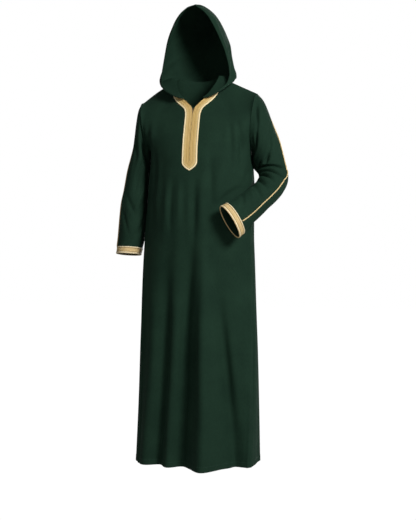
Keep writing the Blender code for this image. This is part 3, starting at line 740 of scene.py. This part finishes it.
def wall(name, outer, inner, uv, material, closed=False):
    """Closed wall between two grids: both sheets, and strips round their edges. A closed ring's last column
    is welded to its first, while its UV runs on."""
    rows, columns = outer.shape[:2]
    count = rows * columns
    index = np.arange(count).reshape(rows, columns)
    a, b, c, d = (q.reshape(-1) for q in (index[:-1, :-1], index[:-1, 1:], index[1:, 1:], index[1:, :-1]))
    quads = [np.stack([a, b, c, d], -1), np.stack([d, c, b, a], -1) + count]
    edges = [index[0, ::-1], index[-1]] + ([] if closed else [index[:, 0], index[::-1, -1]])
    for line in edges:
        p, q = line[:-1], line[1:]
        quads.append(np.stack([p, q, q + count, p + count], -1))
    quads = np.concatenate(quads)
    points = np.concatenate([outer.reshape(-1, 3), inner.reshape(-1, 3)])
    if faces_in(points, quads):
        quads = quads[:, ::-1]
    corners = np.concatenate([uv.reshape(-1, 2)] * 2)[quads.reshape(-1)]
    if closed:
        weld = np.arange(2 * count)
        last = np.concatenate([index[:, -1], index[:, -1] + count])
        weld[last] = np.concatenate([index[:, 0], index[:, 0] + count])
        used, quads = np.unique(weld[quads], return_inverse=True)
        points, quads = points[used], quads.reshape(-1, 4)
    return mesh_object(name, points, quads, material, corners)


def mesh_object(name, points, faces, material, corner_uv=None):
    """Mesh from whole arrays of points in millimetres, faces and their corners' UV."""
    sides = faces.shape[1]
    mesh = bpy.data.meshes.new(name)
    mesh.vertices.add(len(points))
    mesh.vertices.foreach_set("co", (points * MM).astype(np.float32).ravel())
    mesh.loops.add(faces.size)
    mesh.loops.foreach_set("vertex_index", faces.astype(np.int32).ravel())
    mesh.polygons.add(len(faces))
    mesh.polygons.foreach_set("loop_start", np.arange(0, faces.size, sides, dtype=np.int32))
    mesh.update(calc_edges=True)
    if corner_uv is not None:
        layer = mesh.uv_layers.new(name="thread")
        layer.data.foreach_set("uv", corner_uv.astype(np.float32).ravel())
    mesh.shade_smooth()
    mesh.set_sharp_from_angle(angle=np.radians(55))
    mesh.materials.append(material)
    obj = bpy.data.objects.new(name, mesh)
    bpy.context.scene.collection.objects.link(obj)
    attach(obj, "root")
    return obj


def stitches(name, grid, normals, rows, columns, material, length=3.4, gap=1.6, radius=0.32):
    """Running stitches through places on the cloth: short tapered threads, six-sided, half sunk in."""
    line, normal = sampled(grid, rows, columns), unit(sampled(normals, rows, columns))
    run = run_length(line, 0)
    starts = np.arange(gap, run[-1] - length, length + gap)
    share = np.array([0, 0.16, 0.5, 0.84, 1.0])
    at = starts[:, None] + share * length
    path = np.stack([np.interp(at, run, line[:, k]) for k in range(3)], -1)
    out = unit(np.stack([np.interp(at, run, normal[:, k]) for k in range(3)], -1))
    along = unit(path[:, -1] - path[:, 0])[:, None]
    across = unit(np.cross(along, out))
    swell = radius * np.array([0.05, 0.8, 1.0, 0.8, 0.05])
    path = path + out * (swell * 0.6)[None, :, None]
    t = np.radians(np.arange(0, 360, 60))
    rings = path[:, :, None] + swell[None, :, None, None] * (
        np.cos(t)[:, None] * across[:, :, None] + np.sin(t)[:, None] * out[:, :, None])
    count, stations, sides = rings.shape[:3]
    index = np.arange(count * stations * sides).reshape(count, stations, sides)
    turned = np.roll(index, -1, axis=2)
    quads = np.stack([index[:, :-1], turned[:, :-1], turned[:, 1:], index[:, 1:]], -1).reshape(-1, 4)
    ends = [index[:, 0, ::-1], index[:, -1]]
    halves = [e[:, corners] for corners in ([0, 1, 2, 3], [0, 3, 4, 5]) for e in ends]
    mesh_object(name, rings.reshape(-1, 3), np.concatenate([quads] + halves), material)


def colour(code):
    """Linear colour from an sRGB hex value."""
    values = np.array([int(code[k:k + 2], 16) for k in (1, 3, 5)]) / 255
    linear = np.where(values <= 0.04045, values / 12.92, ((values + 0.055) / 1.055) ** 2.4)
    return (*linear.tolist(), 1.0)


def add_node(tree, kind, links=None, values=None, **settings):
    """One shader node with its settings, socket values and incoming links."""
    node = tree.nodes.new(kind)
    for name, value in settings.items():
        setattr(node, name, value)
    for socket, value in (values or {}).items():
        node.inputs[socket].default_value = value
    for socket, source in (links or {}).items():
        tree.links.new(source, node.inputs[socket])
    return node


def ramp(tree, source, stops):
    """Colour ramp through (position, hex) stops."""
    node = add_node(tree, "ShaderNodeValToRGB", {"Fac": source})
    elements = node.color_ramp.elements
    while len(elements) < len(stops):
        elements.new(0.5)
    for element, (place, code) in zip(elements, stops):
        element.position = place
        element.color = colour(code)
    return node.outputs["Color"]


def new_material(name, values):
    """Material whose Principled shader has the given socket values."""
    material = bpy.data.materials.new(name)
    material.use_nodes = True
    tree = material.node_tree
    shader = tree.nodes["Principled BSDF"]
    for socket, value in values.items():
        shader.inputs[socket].default_value = value
    return material, tree, shader


def wool_twill(name):
    """Worsted wool twill, piece-dyed dark green: matt, with a soft sheen where the nap catches the light.

    A wave texture's lines lie 0.314 / scale apart, so the diagonal ribs have a pitch of 0.7 mm and the weft
    threads one of 0.35 mm. Slubs 2 mm wide and 5 to 11 mm long keep the cloth from looking flat.
    """
    material, tree, shader = new_material(name, {
        "Roughness": 0.8, "Specular IOR Level": 0.12, "Specular Tint": colour("#A9CDBB"),
        "Sheen Weight": 0.05, "Sheen Roughness": 0.42, "Sheen Tint": colour("#5E9C80")})
    uv = add_node(tree, "ShaderNodeUVMap", uv_map="thread").outputs["UV"]
    rib = add_node(tree, "ShaderNodeMapping", {"Vector": uv}, {"Rotation": (0, 0, np.radians(58))})
    rib_wave = add_node(tree, "ShaderNodeTexWave", {"Vector": rib.outputs["Vector"]},
                        {"Scale": 1 / 0.0022, "Distortion": 0.6, "Detail": 1.0, "Detail Scale": 2.0})
    weft = add_node(tree, "ShaderNodeTexWave", {"Vector": uv}, {"Scale": 1 / 0.0011, "Distortion": 0.3},
                    bands_direction="Y")
    slub_place = add_node(tree, "ShaderNodeMapping", {"Vector": uv}, {"Scale": (420, 90, 1)})
    slub = add_node(tree, "ShaderNodeTexNoise", {"Vector": slub_place.outputs["Vector"]},
                    {"Scale": 1.0, "Detail": 3.0, "Roughness": 0.6})
    cloud = add_node(tree, "ShaderNodeTexNoise", {"Vector": uv}, {"Scale": 9.0, "Detail": 3.0})
    tone = add_node(tree, "ShaderNodeMath", {0: slub.outputs["Fac"], 1: cloud.outputs["Fac"]},
                    operation="ADD")
    half = add_node(tree, "ShaderNodeMath", {0: tone.outputs[0]}, {1: 0.5}, operation="MULTIPLY")
    shade = ramp(tree, half.outputs[0], [(0.30, "#15271E"), (0.72, "#203629")])
    tree.links.new(shade, shader.inputs["Base Color"])
    weave = add_node(tree, "ShaderNodeMath", {0: rib_wave.outputs["Fac"], 1: weft.outputs["Fac"]},
                     operation="MULTIPLY")
    height = add_node(tree, "ShaderNodeMath", {0: weave.outputs[0], 1: slub.outputs["Fac"]},
                      operation="ADD")
    bump_node = add_node(tree, "ShaderNodeBump", {"Height": height.outputs[0]},
                         {"Strength": 0.35, "Distance": 0.0006})
    tree.links.new(bump_node.outputs["Normal"], shader.inputs["Normal"])
    return material


def rayon_braid(name, width, rims):
    """Gold rayon braid, woven from twisted cords: silky, painted lighter on the rim cords as a painted
    highlight, painted darker in the grooves as painted shade, and painted darker between the twisted
    strands as painted shade.

    U is the distance from the outer edge and V the run, in metres. The strands lie at a slant, and are
    1.5 mm apart.
    """
    material, tree, shader = new_material(name, {
        "Roughness": 0.46, "Specular IOR Level": 0.3, "Sheen Weight": 0.12, "Sheen Roughness": 0.35,
        "Sheen Tint": colour("#FFE9B8")})
    uv = add_node(tree, "ShaderNodeUVMap", uv_map="thread").outputs["UV"]
    parts = add_node(tree, "ShaderNodeSeparateXYZ", {"Vector": uv})
    across = add_node(tree, "ShaderNodeMath", {0: parts.outputs["X"]}, {1: 1000 / width},
                      operation="MULTIPLY")
    bands = ramp(tree, across.outputs[0], rims)
    twist = add_node(tree, "ShaderNodeMapping", {"Vector": uv}, {"Rotation": (0, 0, np.radians(34))})
    strand = add_node(tree, "ShaderNodeTexWave", {"Vector": twist.outputs["Vector"]},
                      {"Scale": 1 / 0.0048, "Distortion": 0.8, "Detail": 1.0}, bands_direction="Y")
    fibre_place = add_node(tree, "ShaderNodeMapping", {"Vector": uv}, {"Scale": (1400, 110, 1)})
    fibre = add_node(tree, "ShaderNodeTexNoise", {"Vector": fibre_place.outputs["Vector"]},
                     {"Scale": 1.0, "Detail": 2.0})
    shade = add_node(tree, "ShaderNodeMath", {0: strand.outputs["Fac"], 1: fibre.outputs["Fac"]},
                     operation="ADD")
    # Painted shade: the colour darkens where the strands' height is low, in the crevices between the
    # twisted strands.
    deep = ramp(tree, shade.outputs[0], [(0.25, "#B89E6C"), (0.85, "#FFFFFF")])
    mixed = add_node(tree, "ShaderNodeMix", {6: bands, 7: deep}, {0: 0.55}, data_type="RGBA",
                     blend_type="MULTIPLY")
    tree.links.new(mixed.outputs[2], shader.inputs["Base Color"])
    bump_node = add_node(tree, "ShaderNodeBump", {"Height": shade.outputs[0]},
                         {"Strength": 0.5, "Distance": 0.0007})
    tree.links.new(bump_node.outputs["Normal"], shader.inputs["Normal"])
    return material


def green_thread(name):
    """Polyester sewing thread, a shade lighter than the cloth, with a slight gloss."""
    material, tree, shader = new_material(name, {"Roughness": 0.5})
    place = add_node(tree, "ShaderNodeTexCoord").outputs["Object"]
    twist = add_node(tree, "ShaderNodeTexNoise", {"Vector": place}, {"Scale": 900.0, "Detail": 1.0})
    shade = ramp(tree, twist.outputs["Fac"], [(0.3, "#1A3026"), (0.7, "#27463A")])
    tree.links.new(shade, shader.inputs["Base Color"])
    return material


def band_outline(side, steps):
    """Inner and outer line of half the neck band, from the end of its arm down to the tip, in x and z.

    The inner line follows the neckline to the V and then the centre. The outer line lies one band width
    outside it, rounds the corner, runs down the side of the placket and closes in a pointed arch.
    """
    arm = neckline(side, np.linspace(0.56, 0.0, ARM_POINTS))
    inner = arm[:, [0, 2]].copy()
    inner[:, 0] *= side
    inner[:, 1] -= 0.4
    direction = unit(np.gradient(inner, axis=0))
    outer = inner + BAND_WIDTH * np.stack([-direction[:, 1], direction[:, 0]], -1)
    corner_z = inner[-1, 1] - 17.0
    outer = outer[outer[:, 0] > PLACKET_HALF_WIDTH + 7]
    turn = np.linspace(0, 1, 30)[1:, None]
    arch_x = PLACKET_HALF_WIDTH * (1 - turn**2.1)
    arch_z = PLACKET_ARCH_Z + (PLACKET_TIP_Z - PLACKET_ARCH_Z) * turn
    bend = np.linspace(0, 1, 10)[1:-1, None]
    knee = np.array([[PLACKET_HALF_WIDTH, corner_z - 12]])
    pull = np.array([[PLACKET_HALF_WIDTH, corner_z + 6]])
    curve = outer[-1:] * (1 - bend) ** 2 + 2 * pull * bend * (1 - bend) + knee * bend**2
    arch = np.hstack([arch_x, arch_z])
    outer = np.vstack([outer, curve, knee, [[PLACKET_HALF_WIDTH, PLACKET_ARCH_Z]], arch])
    inner = np.vstack([inner, [[0, PLACKET_TIP_Z]]])
    inner_run, outer_run = run_length(inner, 0), run_length(outer, 0)
    v_share = inner_run[ARM_POINTS - 1] / inner_run[-1]
    knee_share = outer_run[np.argmin(np.abs(outer[:, 1] - corner_z))] / outer_run[-1]
    at = np.linspace(0, 1, steps)
    outer_at = np.interp(at, [0, v_share, 1], [0, knee_share, 1])
    return (*(np.stack([np.interp(share * run[-1], run, line[:, k]) for k in (0, 1)], -1)
              for line, run, share in ((inner, inner_run, at), (outer, outer_run, outer_at))), outer)


def settled(grid, x, z):
    """Row and column places on a panel where it has the given x and z, by Newton steps on its cells from
    the nearest of a thinned set of points."""
    thin = grid[::6, ::4]
    flat = thin[..., [0, 2]].reshape(-1, 2)
    target = np.stack([x.ravel(), z.ravel()], -1)
    best = np.concatenate([
        np.argmin(((part[:, None] - flat) ** 2).sum(-1), axis=1) for part in np.array_split(target, 40)])
    rows, columns = (best // thin.shape[1]) * 6.0, (best % thin.shape[1]) * 4.0
    plane = grid[..., [0, 2]]
    for _ in range(12):
        here = sampled(plane, rows, columns)
        i = np.clip(rows, 0, grid.shape[0] - 1.001)
        j = np.clip(columns, 0, grid.shape[1] - 1.001)
        down = sampled(plane, np.floor(i) + 1, j) - sampled(plane, np.floor(i), j)
        over = sampled(plane, i, np.floor(j) + 1) - sampled(plane, i, np.floor(j))
        miss = target - here
        det = down[:, 0] * over[:, 1] - down[:, 1] * over[:, 0]
        det = np.where(np.abs(det) < 1e-6, 1e-6, det)
        rows = rows + np.clip((miss[:, 0] * over[:, 1] - miss[:, 1] * over[:, 0]) / det, -3, 3)
        columns = columns + np.clip((down[:, 0] * miss[:, 1] - down[:, 1] * miss[:, 0]) / det, -3, 3)
        rows = np.clip(rows, 0, grid.shape[0] - 1)
        columns = np.clip(columns, 0, grid.shape[1] - 1)
    return rows.reshape(x.shape), columns.reshape(x.shape)


def cord_height(distance, table):
    """Height of braid made of cords side by side: each is a low round arch between two distances."""
    height = np.zeros(distance.shape)
    for start, end, rise in table:
        share = (distance - start) / (end - start)
        height = np.maximum(height, rise * np.sqrt(np.clip(1 - (2 * share - 1) ** 2, 0, 1)))
    return height


def braid(node, place, normal, height, uv, material, closed=False):
    """Braid on the cloth's points: its inner face just clear of them, its outer face up by the height."""
    outer = place + normal * (BAND_LIFT + height)[..., None]
    piece = wall(node + "_braid", outer, place + normal * BAND_LIFT, uv, material, closed)
    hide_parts(node)


def neck_band(word, side, front, normals, material):
    """Half the neck band on the front's own points: its cords follow the outer edge at set distances."""
    inner_line, outer_line, outline = band_outline(side, BAND_FINENESS[1])
    share = np.linspace(0, 1, BAND_FINENESS[0])[None, :, None]
    flat = inner_line[:, None] * (1 - share) + outer_line[:, None] * share
    flat[..., 0] = np.maximum(flat[..., 0], SEAM_GAP)
    dense = np.concatenate([np.linspace(a, b, max(2, int(np.linalg.norm(b - a))), endpoint=False)
                            for a, b in zip(outline, outline[1:])])
    distance = np.stack([np.sqrt(((row[:, None] - dense) ** 2).sum(-1).min(1)) for row in flat])
    distance -= distance[:, -1:]
    rows, columns = settled(front, flat[..., 0] * side, flat[..., 1])
    place, normal = sampled(front, rows, columns), unit(sampled(normals, rows, columns))
    height = BAND_BASE + cord_height(distance, BAND_CORDS)
    height[:, [0, -1]] = BAND_BASE * 0.6
    run = run_length(place, 0)[:, :1]
    uv = np.stack([distance, run + 0 * distance], -1) * MM
    braid("neck_band_" + word, place, normal, height, uv, material)


def cuff_band(word, sleeve, normals, material):
    """Braid round the sleeve's mouth, moved out along the sleeve's own normals, with a cord at each rim."""
    along = run_length(sleeve[::-1], 0)[::-1]
    share = np.linspace(0, 1, CUFF_ROWS)
    rows = np.stack([
        np.interp(CUFF_WIDTH * (1 - share) + 0.3, along[::-1, j], np.arange(len(sleeve))[::-1])
        for j in range(sleeve.shape[1])], 1)
    columns = np.broadcast_to(np.arange(sleeve.shape[1], dtype=float), rows.shape)
    place, normal = sampled(sleeve, rows, columns), unit(sampled(normals, rows, columns))
    distance = np.broadcast_to(CUFF_WIDTH * share[:, None], rows.shape)
    height = BAND_BASE + cord_height(distance, CUFF_CORDS)
    height[[0, -1]] = BAND_BASE * 0.5
    uv = np.stack([distance, np.broadcast_to(run_length(place, 1).mean(0), rows.shape)], -1) * MM
    braid("cuff_band_" + word, place, normal, height, uv, material, closed=True)
    cuff_rim(word, sleeve, normals, material)


def cuff_rim(word, sleeve, normals, material):
    """Round cord that caps the mouth's edge, so that it shows from inside too: circles round its line."""
    middle = sleeve[-1, :-1] - normals[-1, :-1] * (CLOTH_THICK / 2 - RIM_OUT)
    run = unit(np.roll(middle, -1, 0) - np.roll(middle, 1, 0))
    out = unit(normals[-1, :-1] - run * np.sum(normals[-1, :-1] * run, -1, keepdims=True))
    away = unit(np.cross(run, out))
    middle, out, away = (np.concatenate([line, line[:1]]) for line in (middle, out, away))
    radii = np.full(len(middle), RIM_RADIUS)
    run = run_length(middle + out * RIM_RADIUS, 0)
    round_cord("cuff_rim_" + word + "_braid", middle, out, away, radii, run, material, ring=True)


def sleeve_cord(word, sleeve, normals, turns, rings, material):
    """Round cord laid along the sleeve, its turn round the sleeve read from the cord table at each ring."""
    along = run_length(sleeve, 0).mean(1)
    end = np.interp(along[-1] - CUFF_WIDTH - 0.6, along, np.arange(len(sleeve)))
    rows = np.linspace(2.0, end, CORD_FINENESS[1])
    per_ring = (len(sleeve) - 1) / rings
    degrees = smooth_curve(turns[:, 0], turns[:, 1], rows / per_ring) % 360
    columns = degrees / 360 * (sleeve.shape[1] - 1)
    place, normal = sampled(sleeve, rows, columns), unit(sampled(normals, rows, columns))
    middle = place + normal * (CORD_RADIUS * CORD_STANDS)
    run = unit(np.gradient(middle, axis=0))
    across = unit(np.cross(run, normal))
    out = np.cross(across, run)
    radii = np.full(len(rows), CORD_RADIUS)
    radii[[0, -1]] = 0.05
    piece = round_cord("sleeve_cord_" + word + "_braid", middle, out, across, radii, run_length(middle, 0),
                       material)
    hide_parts("sleeve_cord_" + word)


def round_cord(name, middle, out, away, radii, run, material, ring=False):
    """Circles round a line of points, from its outward and sideways directions. The tube is welded round,
    and narrowed to a point at each end or joined as a ring."""
    t = np.radians(np.linspace(0, 360, CORD_FINENESS[0] + 1))
    tube = middle[:, None] + radii[:, None, None] * (
        np.cos(t)[None, :, None] * out[:, None] + np.sin(t)[None, :, None] * away[:, None])
    uv = np.stack(np.broadcast_arrays(t[None] * radii.max(), run[:, None]), -1) * MM
    rows, columns = tube.shape[:2]
    index = np.arange(rows * columns).reshape(rows, columns)
    quads = np.stack([index[:-1, :-1], index[:-1, 1:], index[1:, 1:], index[1:, :-1]], -1).reshape(-1, 4)
    corners = uv.reshape(-1, 2)[quads.reshape(-1)]
    weld = np.arange(rows * columns)
    weld[index[:, -1]] = index[:, 0]
    if ring:
        weld[index[-1]] = weld[index[0]]
    else:
        weld[index[0]] = index[0, 0]
        weld[index[-1]] = index[-1, 0]
    used, quads = np.unique(weld[quads], return_inverse=True)
    points, quads = tube.reshape(-1, 3)[used], quads.reshape(-1, 4)
    if faces_in(points, quads):
        quads, corners = quads[:, ::-1], corners.reshape(-1, 4, 2)[:, ::-1].reshape(-1, 2)
    return mesh_object(name, points, quads, material, corners)


def hemmed(grid, normals, distance, width, rise):
    """Cloth turned under along an edge: it stands proud by the hem's rise as far as the hem's width."""
    step = smooth_step((width - distance) / 2.5)
    return grid + normals * (rise * step)[..., None]


def side_distances(grid):
    """Distance of each point from the grid's first and last column, along its row."""
    left = run_length(grid, 1)
    return left, left[:, -1:] - left


def seam_dip(grid, normals, depth, reach, sewn=(True, True)):
    """Cloth drawn in towards a sewn edge, by a depth that falls off with the distance from it."""
    left, right = side_distances(grid)
    dip = depth * (np.exp(-((left / reach) ** 2)) * sewn[0] + np.exp(-((right / reach) ** 2)) * sewn[1])
    return grid - normals * dip[..., None]


def seam_welt(grid, normals):
    """The edge of the allowance pressed over beside a side seam shows through: a low ridge beside it."""
    ridge = sum(np.exp(-(((side - WELT_FROM_SEAM) / WELT_REACH) ** 2)) for side in side_distances(grid))
    below = smooth_step((WELT_TOP_Z - grid[..., 2]) / WELT_FADE)
    return grid + normals * (WELT_RISE * ridge * below)[..., None]


def crossings(distance, at):
    """Where the distance, which grows along each line of the array, reaches a value."""
    return np.array([np.interp(at, line, np.arange(len(line))) for line in distance])


def robe_cloth(twill, thread):
    """Front, back and sleeves: fine forms, creases, seams and hems, then a wall for each."""
    grids = {
        "front": panel_grid(False, *PANEL_FINENESS),
        "back": panel_grid(True, *PANEL_FINENESS),
        "sleeve_right": sleeve_grid(RIGHT_SLEEVE, -1, *SLEEVE_FINENESS),
        "sleeve_left": sleeve_grid(LEFT_SLEEVE, 1, *SLEEVE_FINENESS),
    }
    normals = shared_normals(grids)
    for name, table in (("front", FINE_FRONT), ("back", FINE_BACK)):
        grids[name] = fine_panel_creases(grids[name], normals[name], table)
    for name, table in (("sleeve_right", RIGHT_CREASES), ("sleeve_left", LEFT_CREASES)):
        grid = grids[name]
        span = grid.shape[1] - 1

        def place(rings, turns):
            return rings * SLEEVE_FINENESS[1], turns % 360 / 360 * span

        fade = smooth_step(np.arange(len(grid)) / 8)[:, None]
        grids[name] = surface_creases(grid, normals[name], table, place, fade)
        grids[name][:, -1] = grids[name][:, 0]
    normals = shared_normals(grids)
    pieces = {}
    for name in ("front", "back"):
        normal = normals[name]
        grid = seam_dip(grids[name], normal, *SIDE_SEAM)
        if name == "front":
            grid = seam_welt(grid, normal)
        from_hem, from_side = run_length(grid, 0), np.minimum(*side_distances(grid))
        slit_share = smooth_step((SLIT_TOP_Z - grid[..., 2]) / 12) * (from_hem > HEM_WIDTH)
        grid = hemmed(grid, normal, from_hem, HEM_WIDTH, HEM_RISE)
        grid = hemmed(grid, normal * slit_share[..., None], from_side, SLIT_FACING, HEM_RISE)
        grids[name] = grid
        slit = np.interp(-grid[:, 0, 2], [-SLIT_TOP_Z, -HEM_Z], [SEAM_SHOWN, SLIT_SHOWN])
        outer = drawn_back(grid, row_ends=(0, SEAM_SHOWN), column_ends=(slit, slit))
        pieces[name] = cloth_wall(name, outer, outer - normal * CLOTH_THICK, grid, twill)
        columns = np.arange(3, grid.shape[1] - 4)
        rows = crossings(from_hem.T[columns], HEM_WIDTH - HEM_STITCH_IN)
        stitches(name + "_hem_stitches", grid, normal, rows, columns, thread)
    for name in ("sleeve_right", "sleeve_left"):
        grid, normal = grids[name], normals[name]
        outer = drawn_back(grid, row_ends=(SEAM_SHOWN, 0))
        outer[:, -1] = outer[:, 0]
        pieces[name] = cloth_wall(name, outer, outer - normal * CLOTH_THICK, grid, twill, closed=True)
    return grids, normals, pieces


def cloth_wall(node, outer, inner, grid, material, closed=False):
    """A node's cloth, with its threads laid out on the grid's own run."""
    piece = wall(node + "_twill", outer, inner, cloth_uv(grid), material, closed)
    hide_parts(node)
    return piece


def hood_cloth(twill, thread):
    """Both halves of the hood, with the turned hem and the facing along the free edge, and stitching."""
    grids = {"hood_right": hood_grid(-1, *HOOD_FINENESS), "hood_left": hood_grid(1, *HOOD_FINENESS)}
    normals = shared_normals(grids)
    pieces = {}
    for name, grid in grids.items():
        rows, columns = grid.shape[0] - 1, grid.shape[1] - 1
        table = HOOD_CREASES.copy()
        if name == "hood_right":  # the two halves crease alike, but not as mirror images
            table[:, [0, 2]] += 0.35
            table[:, 4] *= 0.85

        def place(row, share):
            return row * HOOD_FINENESS[1], np.clip(share, 0, 1) * columns

        from_edges = np.minimum(np.arange(columns + 1), np.arange(columns + 1)[::-1])
        fade = smooth_step(from_edges / 4)[None] * smooth_step(np.arange(rows + 1) / 6)[:, None]
        grids[name] = surface_creases(grid, normals[name], table, place, fade)
    normals = shared_normals(grids)
    for name, grid in grids.items():
        normal = normals[name]
        grid = seam_dip(grid, normal, *HOOD_SEAM, sewn=(False, True))
        from_edge = run_length(grid, 1)
        grid = hemmed(grid, normal, from_edge, HOOD_HEM_WIDTH, HEM_RISE)
        outer = drawn_back(grid, column_ends=(0, SEAM_SHOWN))
        facing = smooth_step((HOOD_FACING - from_edge) / 2.0) * FACING_RISE
        inner = outer - normal * (CLOTH_THICK + facing)[..., None]
        pieces[name] = cloth_wall(name, outer, inner, grid, twill)
        rows = np.arange(3, grid.shape[0] - 6)
        columns = crossings(from_edge[rows], HOOD_FACING - FACING_STITCH_IN)
        stitches(name + "_facing_stitches", inner, -normal, rows, columns, thread)
        columns = crossings(from_edge[rows], HOOD_HEM_WIDTH - HOOD_STITCH_IN)
        stitches(name + "_hem_stitches", grid, normal, rows, columns, thread)
    return pieces


def studio():
    """Pale floor under the hanging robe, a white surround, a soft light from the camera's right, a weak one
    from its left and one from behind. The camera sees the floor and the surround as plain white."""
    mesh = bpy.data.meshes.new("floor")
    corners = [(x * FLOOR_HALF, y * FLOOR_HALF, FLOOR_Z) for x, y in ((-1, -1), (1, -1), (1, 1), (-1, 1))]
    mesh.from_pydata(corners, [], [(0, 1, 2, 3)])
    floor = bpy.data.objects.new("floor", mesh)
    bpy.context.scene.collection.objects.link(floor)
    material, tree, shader = new_material("white_studio_paper", {
        "Base Color": colour("#B9B9B9"), "Roughness": 0.9})
    glow = add_node(tree, "ShaderNodeEmission", values={"Color": (1, 1, 1, 1), "Strength": 1.02})
    seen = add_node(tree, "ShaderNodeLightPath").outputs["Is Camera Ray"]
    share = add_node(tree, "ShaderNodeMath", {0: seen}, {1: FLOOR_GLOW}, operation="MULTIPLY")
    mixed = add_node(tree, "ShaderNodeMixShader",
                     {0: share.outputs[0], 1: shader.outputs[0], 2: glow.outputs[0]})
    tree.links.new(mixed.outputs[0], tree.nodes["Material Output"].inputs["Surface"])
    mesh.materials.append(material)
    world = bpy.data.worlds.new("white_surround")
    world.use_nodes = True
    tree = world.node_tree
    background = tree.nodes["Background"]
    background.inputs["Color"].default_value = (1, 1, 1, 1)
    seen = add_node(tree, "ShaderNodeLightPath").outputs["Is Camera Ray"]
    share = add_node(tree, "ShaderNodeMapRange", {"Value": seen}, {"To Min": WORLD_STRENGTH, "To Max": 1.0})
    tree.links.new(share.outputs[0], background.inputs["Strength"])
    scene = bpy.context.scene
    scene.world = world
    scene.view_settings.view_transform = "Standard"
    for name, place, target, size, power in LIGHTS:
        light = bpy.data.lights.new(name, "AREA")
        light.shape = "DISK"
        light.size = size
        light.energy = power
        obj = bpy.data.objects.new(name, light)
        obj.location = place
        obj.rotation_euler = (Vector(target) - Vector(place)).to_track_quat("-Z", "Y").to_euler()
        scene.collection.objects.link(obj)


def photo_camera():
    """Level camera in front of the robe, turned towards the wearer's left, framed as the photograph is."""
    turn = np.radians(CAMERA_TURN)
    right = np.array([np.cos(turn), np.sin(turn), 0])
    back = np.array([np.sin(turn), -np.cos(turn), 0])
    place = back * CAMERA_DISTANCE + right * CAMERA_ASIDE + np.array([0, 0, CAMERA_HEIGHT])
    data = bpy.data.cameras.new("camera")
    data.sensor_width = 36
    data.lens = CAMERA_LENS
    obj = bpy.data.objects.new("camera", data)
    obj.matrix_world = Matrix.Translation(Vector(place)) @ Matrix((
        (right[0], 0, back[0]), (right[1], 0, back[1]), (0, 1, 0))).to_4x4()
    bpy.context.scene.collection.objects.link(obj)
    bpy.context.scene.camera = obj


def main():
    twill = wool_twill("worsted_wool_twill_dyed")
    thread = green_thread("polyester_thread_spun")
    band_braid = rayon_braid("rayon_braid_band", PLACKET_HALF_WIDTH, BAND_TONES_PAINTED_LIGHT)
    cuff_braid = rayon_braid("rayon_braid_cuff", CUFF_WIDTH, CUFF_TONES_PAINTED_LIGHT)
    cord_braid = rayon_braid("rayon_cord_twisted", CORD_ROUND, CORD_TONES)
    grids, normals, pieces = robe_cloth(twill, thread)
    pieces.update(hood_cloth(twill, thread))
    for word, side, table, turns in (
            ("right", -1, RIGHT_SLEEVE, RIGHT_CORD_TURN), ("left", 1, LEFT_SLEEVE, LEFT_CORD_TURN)):
        neck_band(word, side, grids["front"], normals["front"], band_braid)
        sleeve, direction = grids["sleeve_" + word], normals["sleeve_" + word]
        cuff_band(word, sleeve, direction, cuff_braid)
        sleeve_cord(word, sleeve, direction, turns, len(table) - 1, cord_braid)
    studio()
    photo_camera()


main()
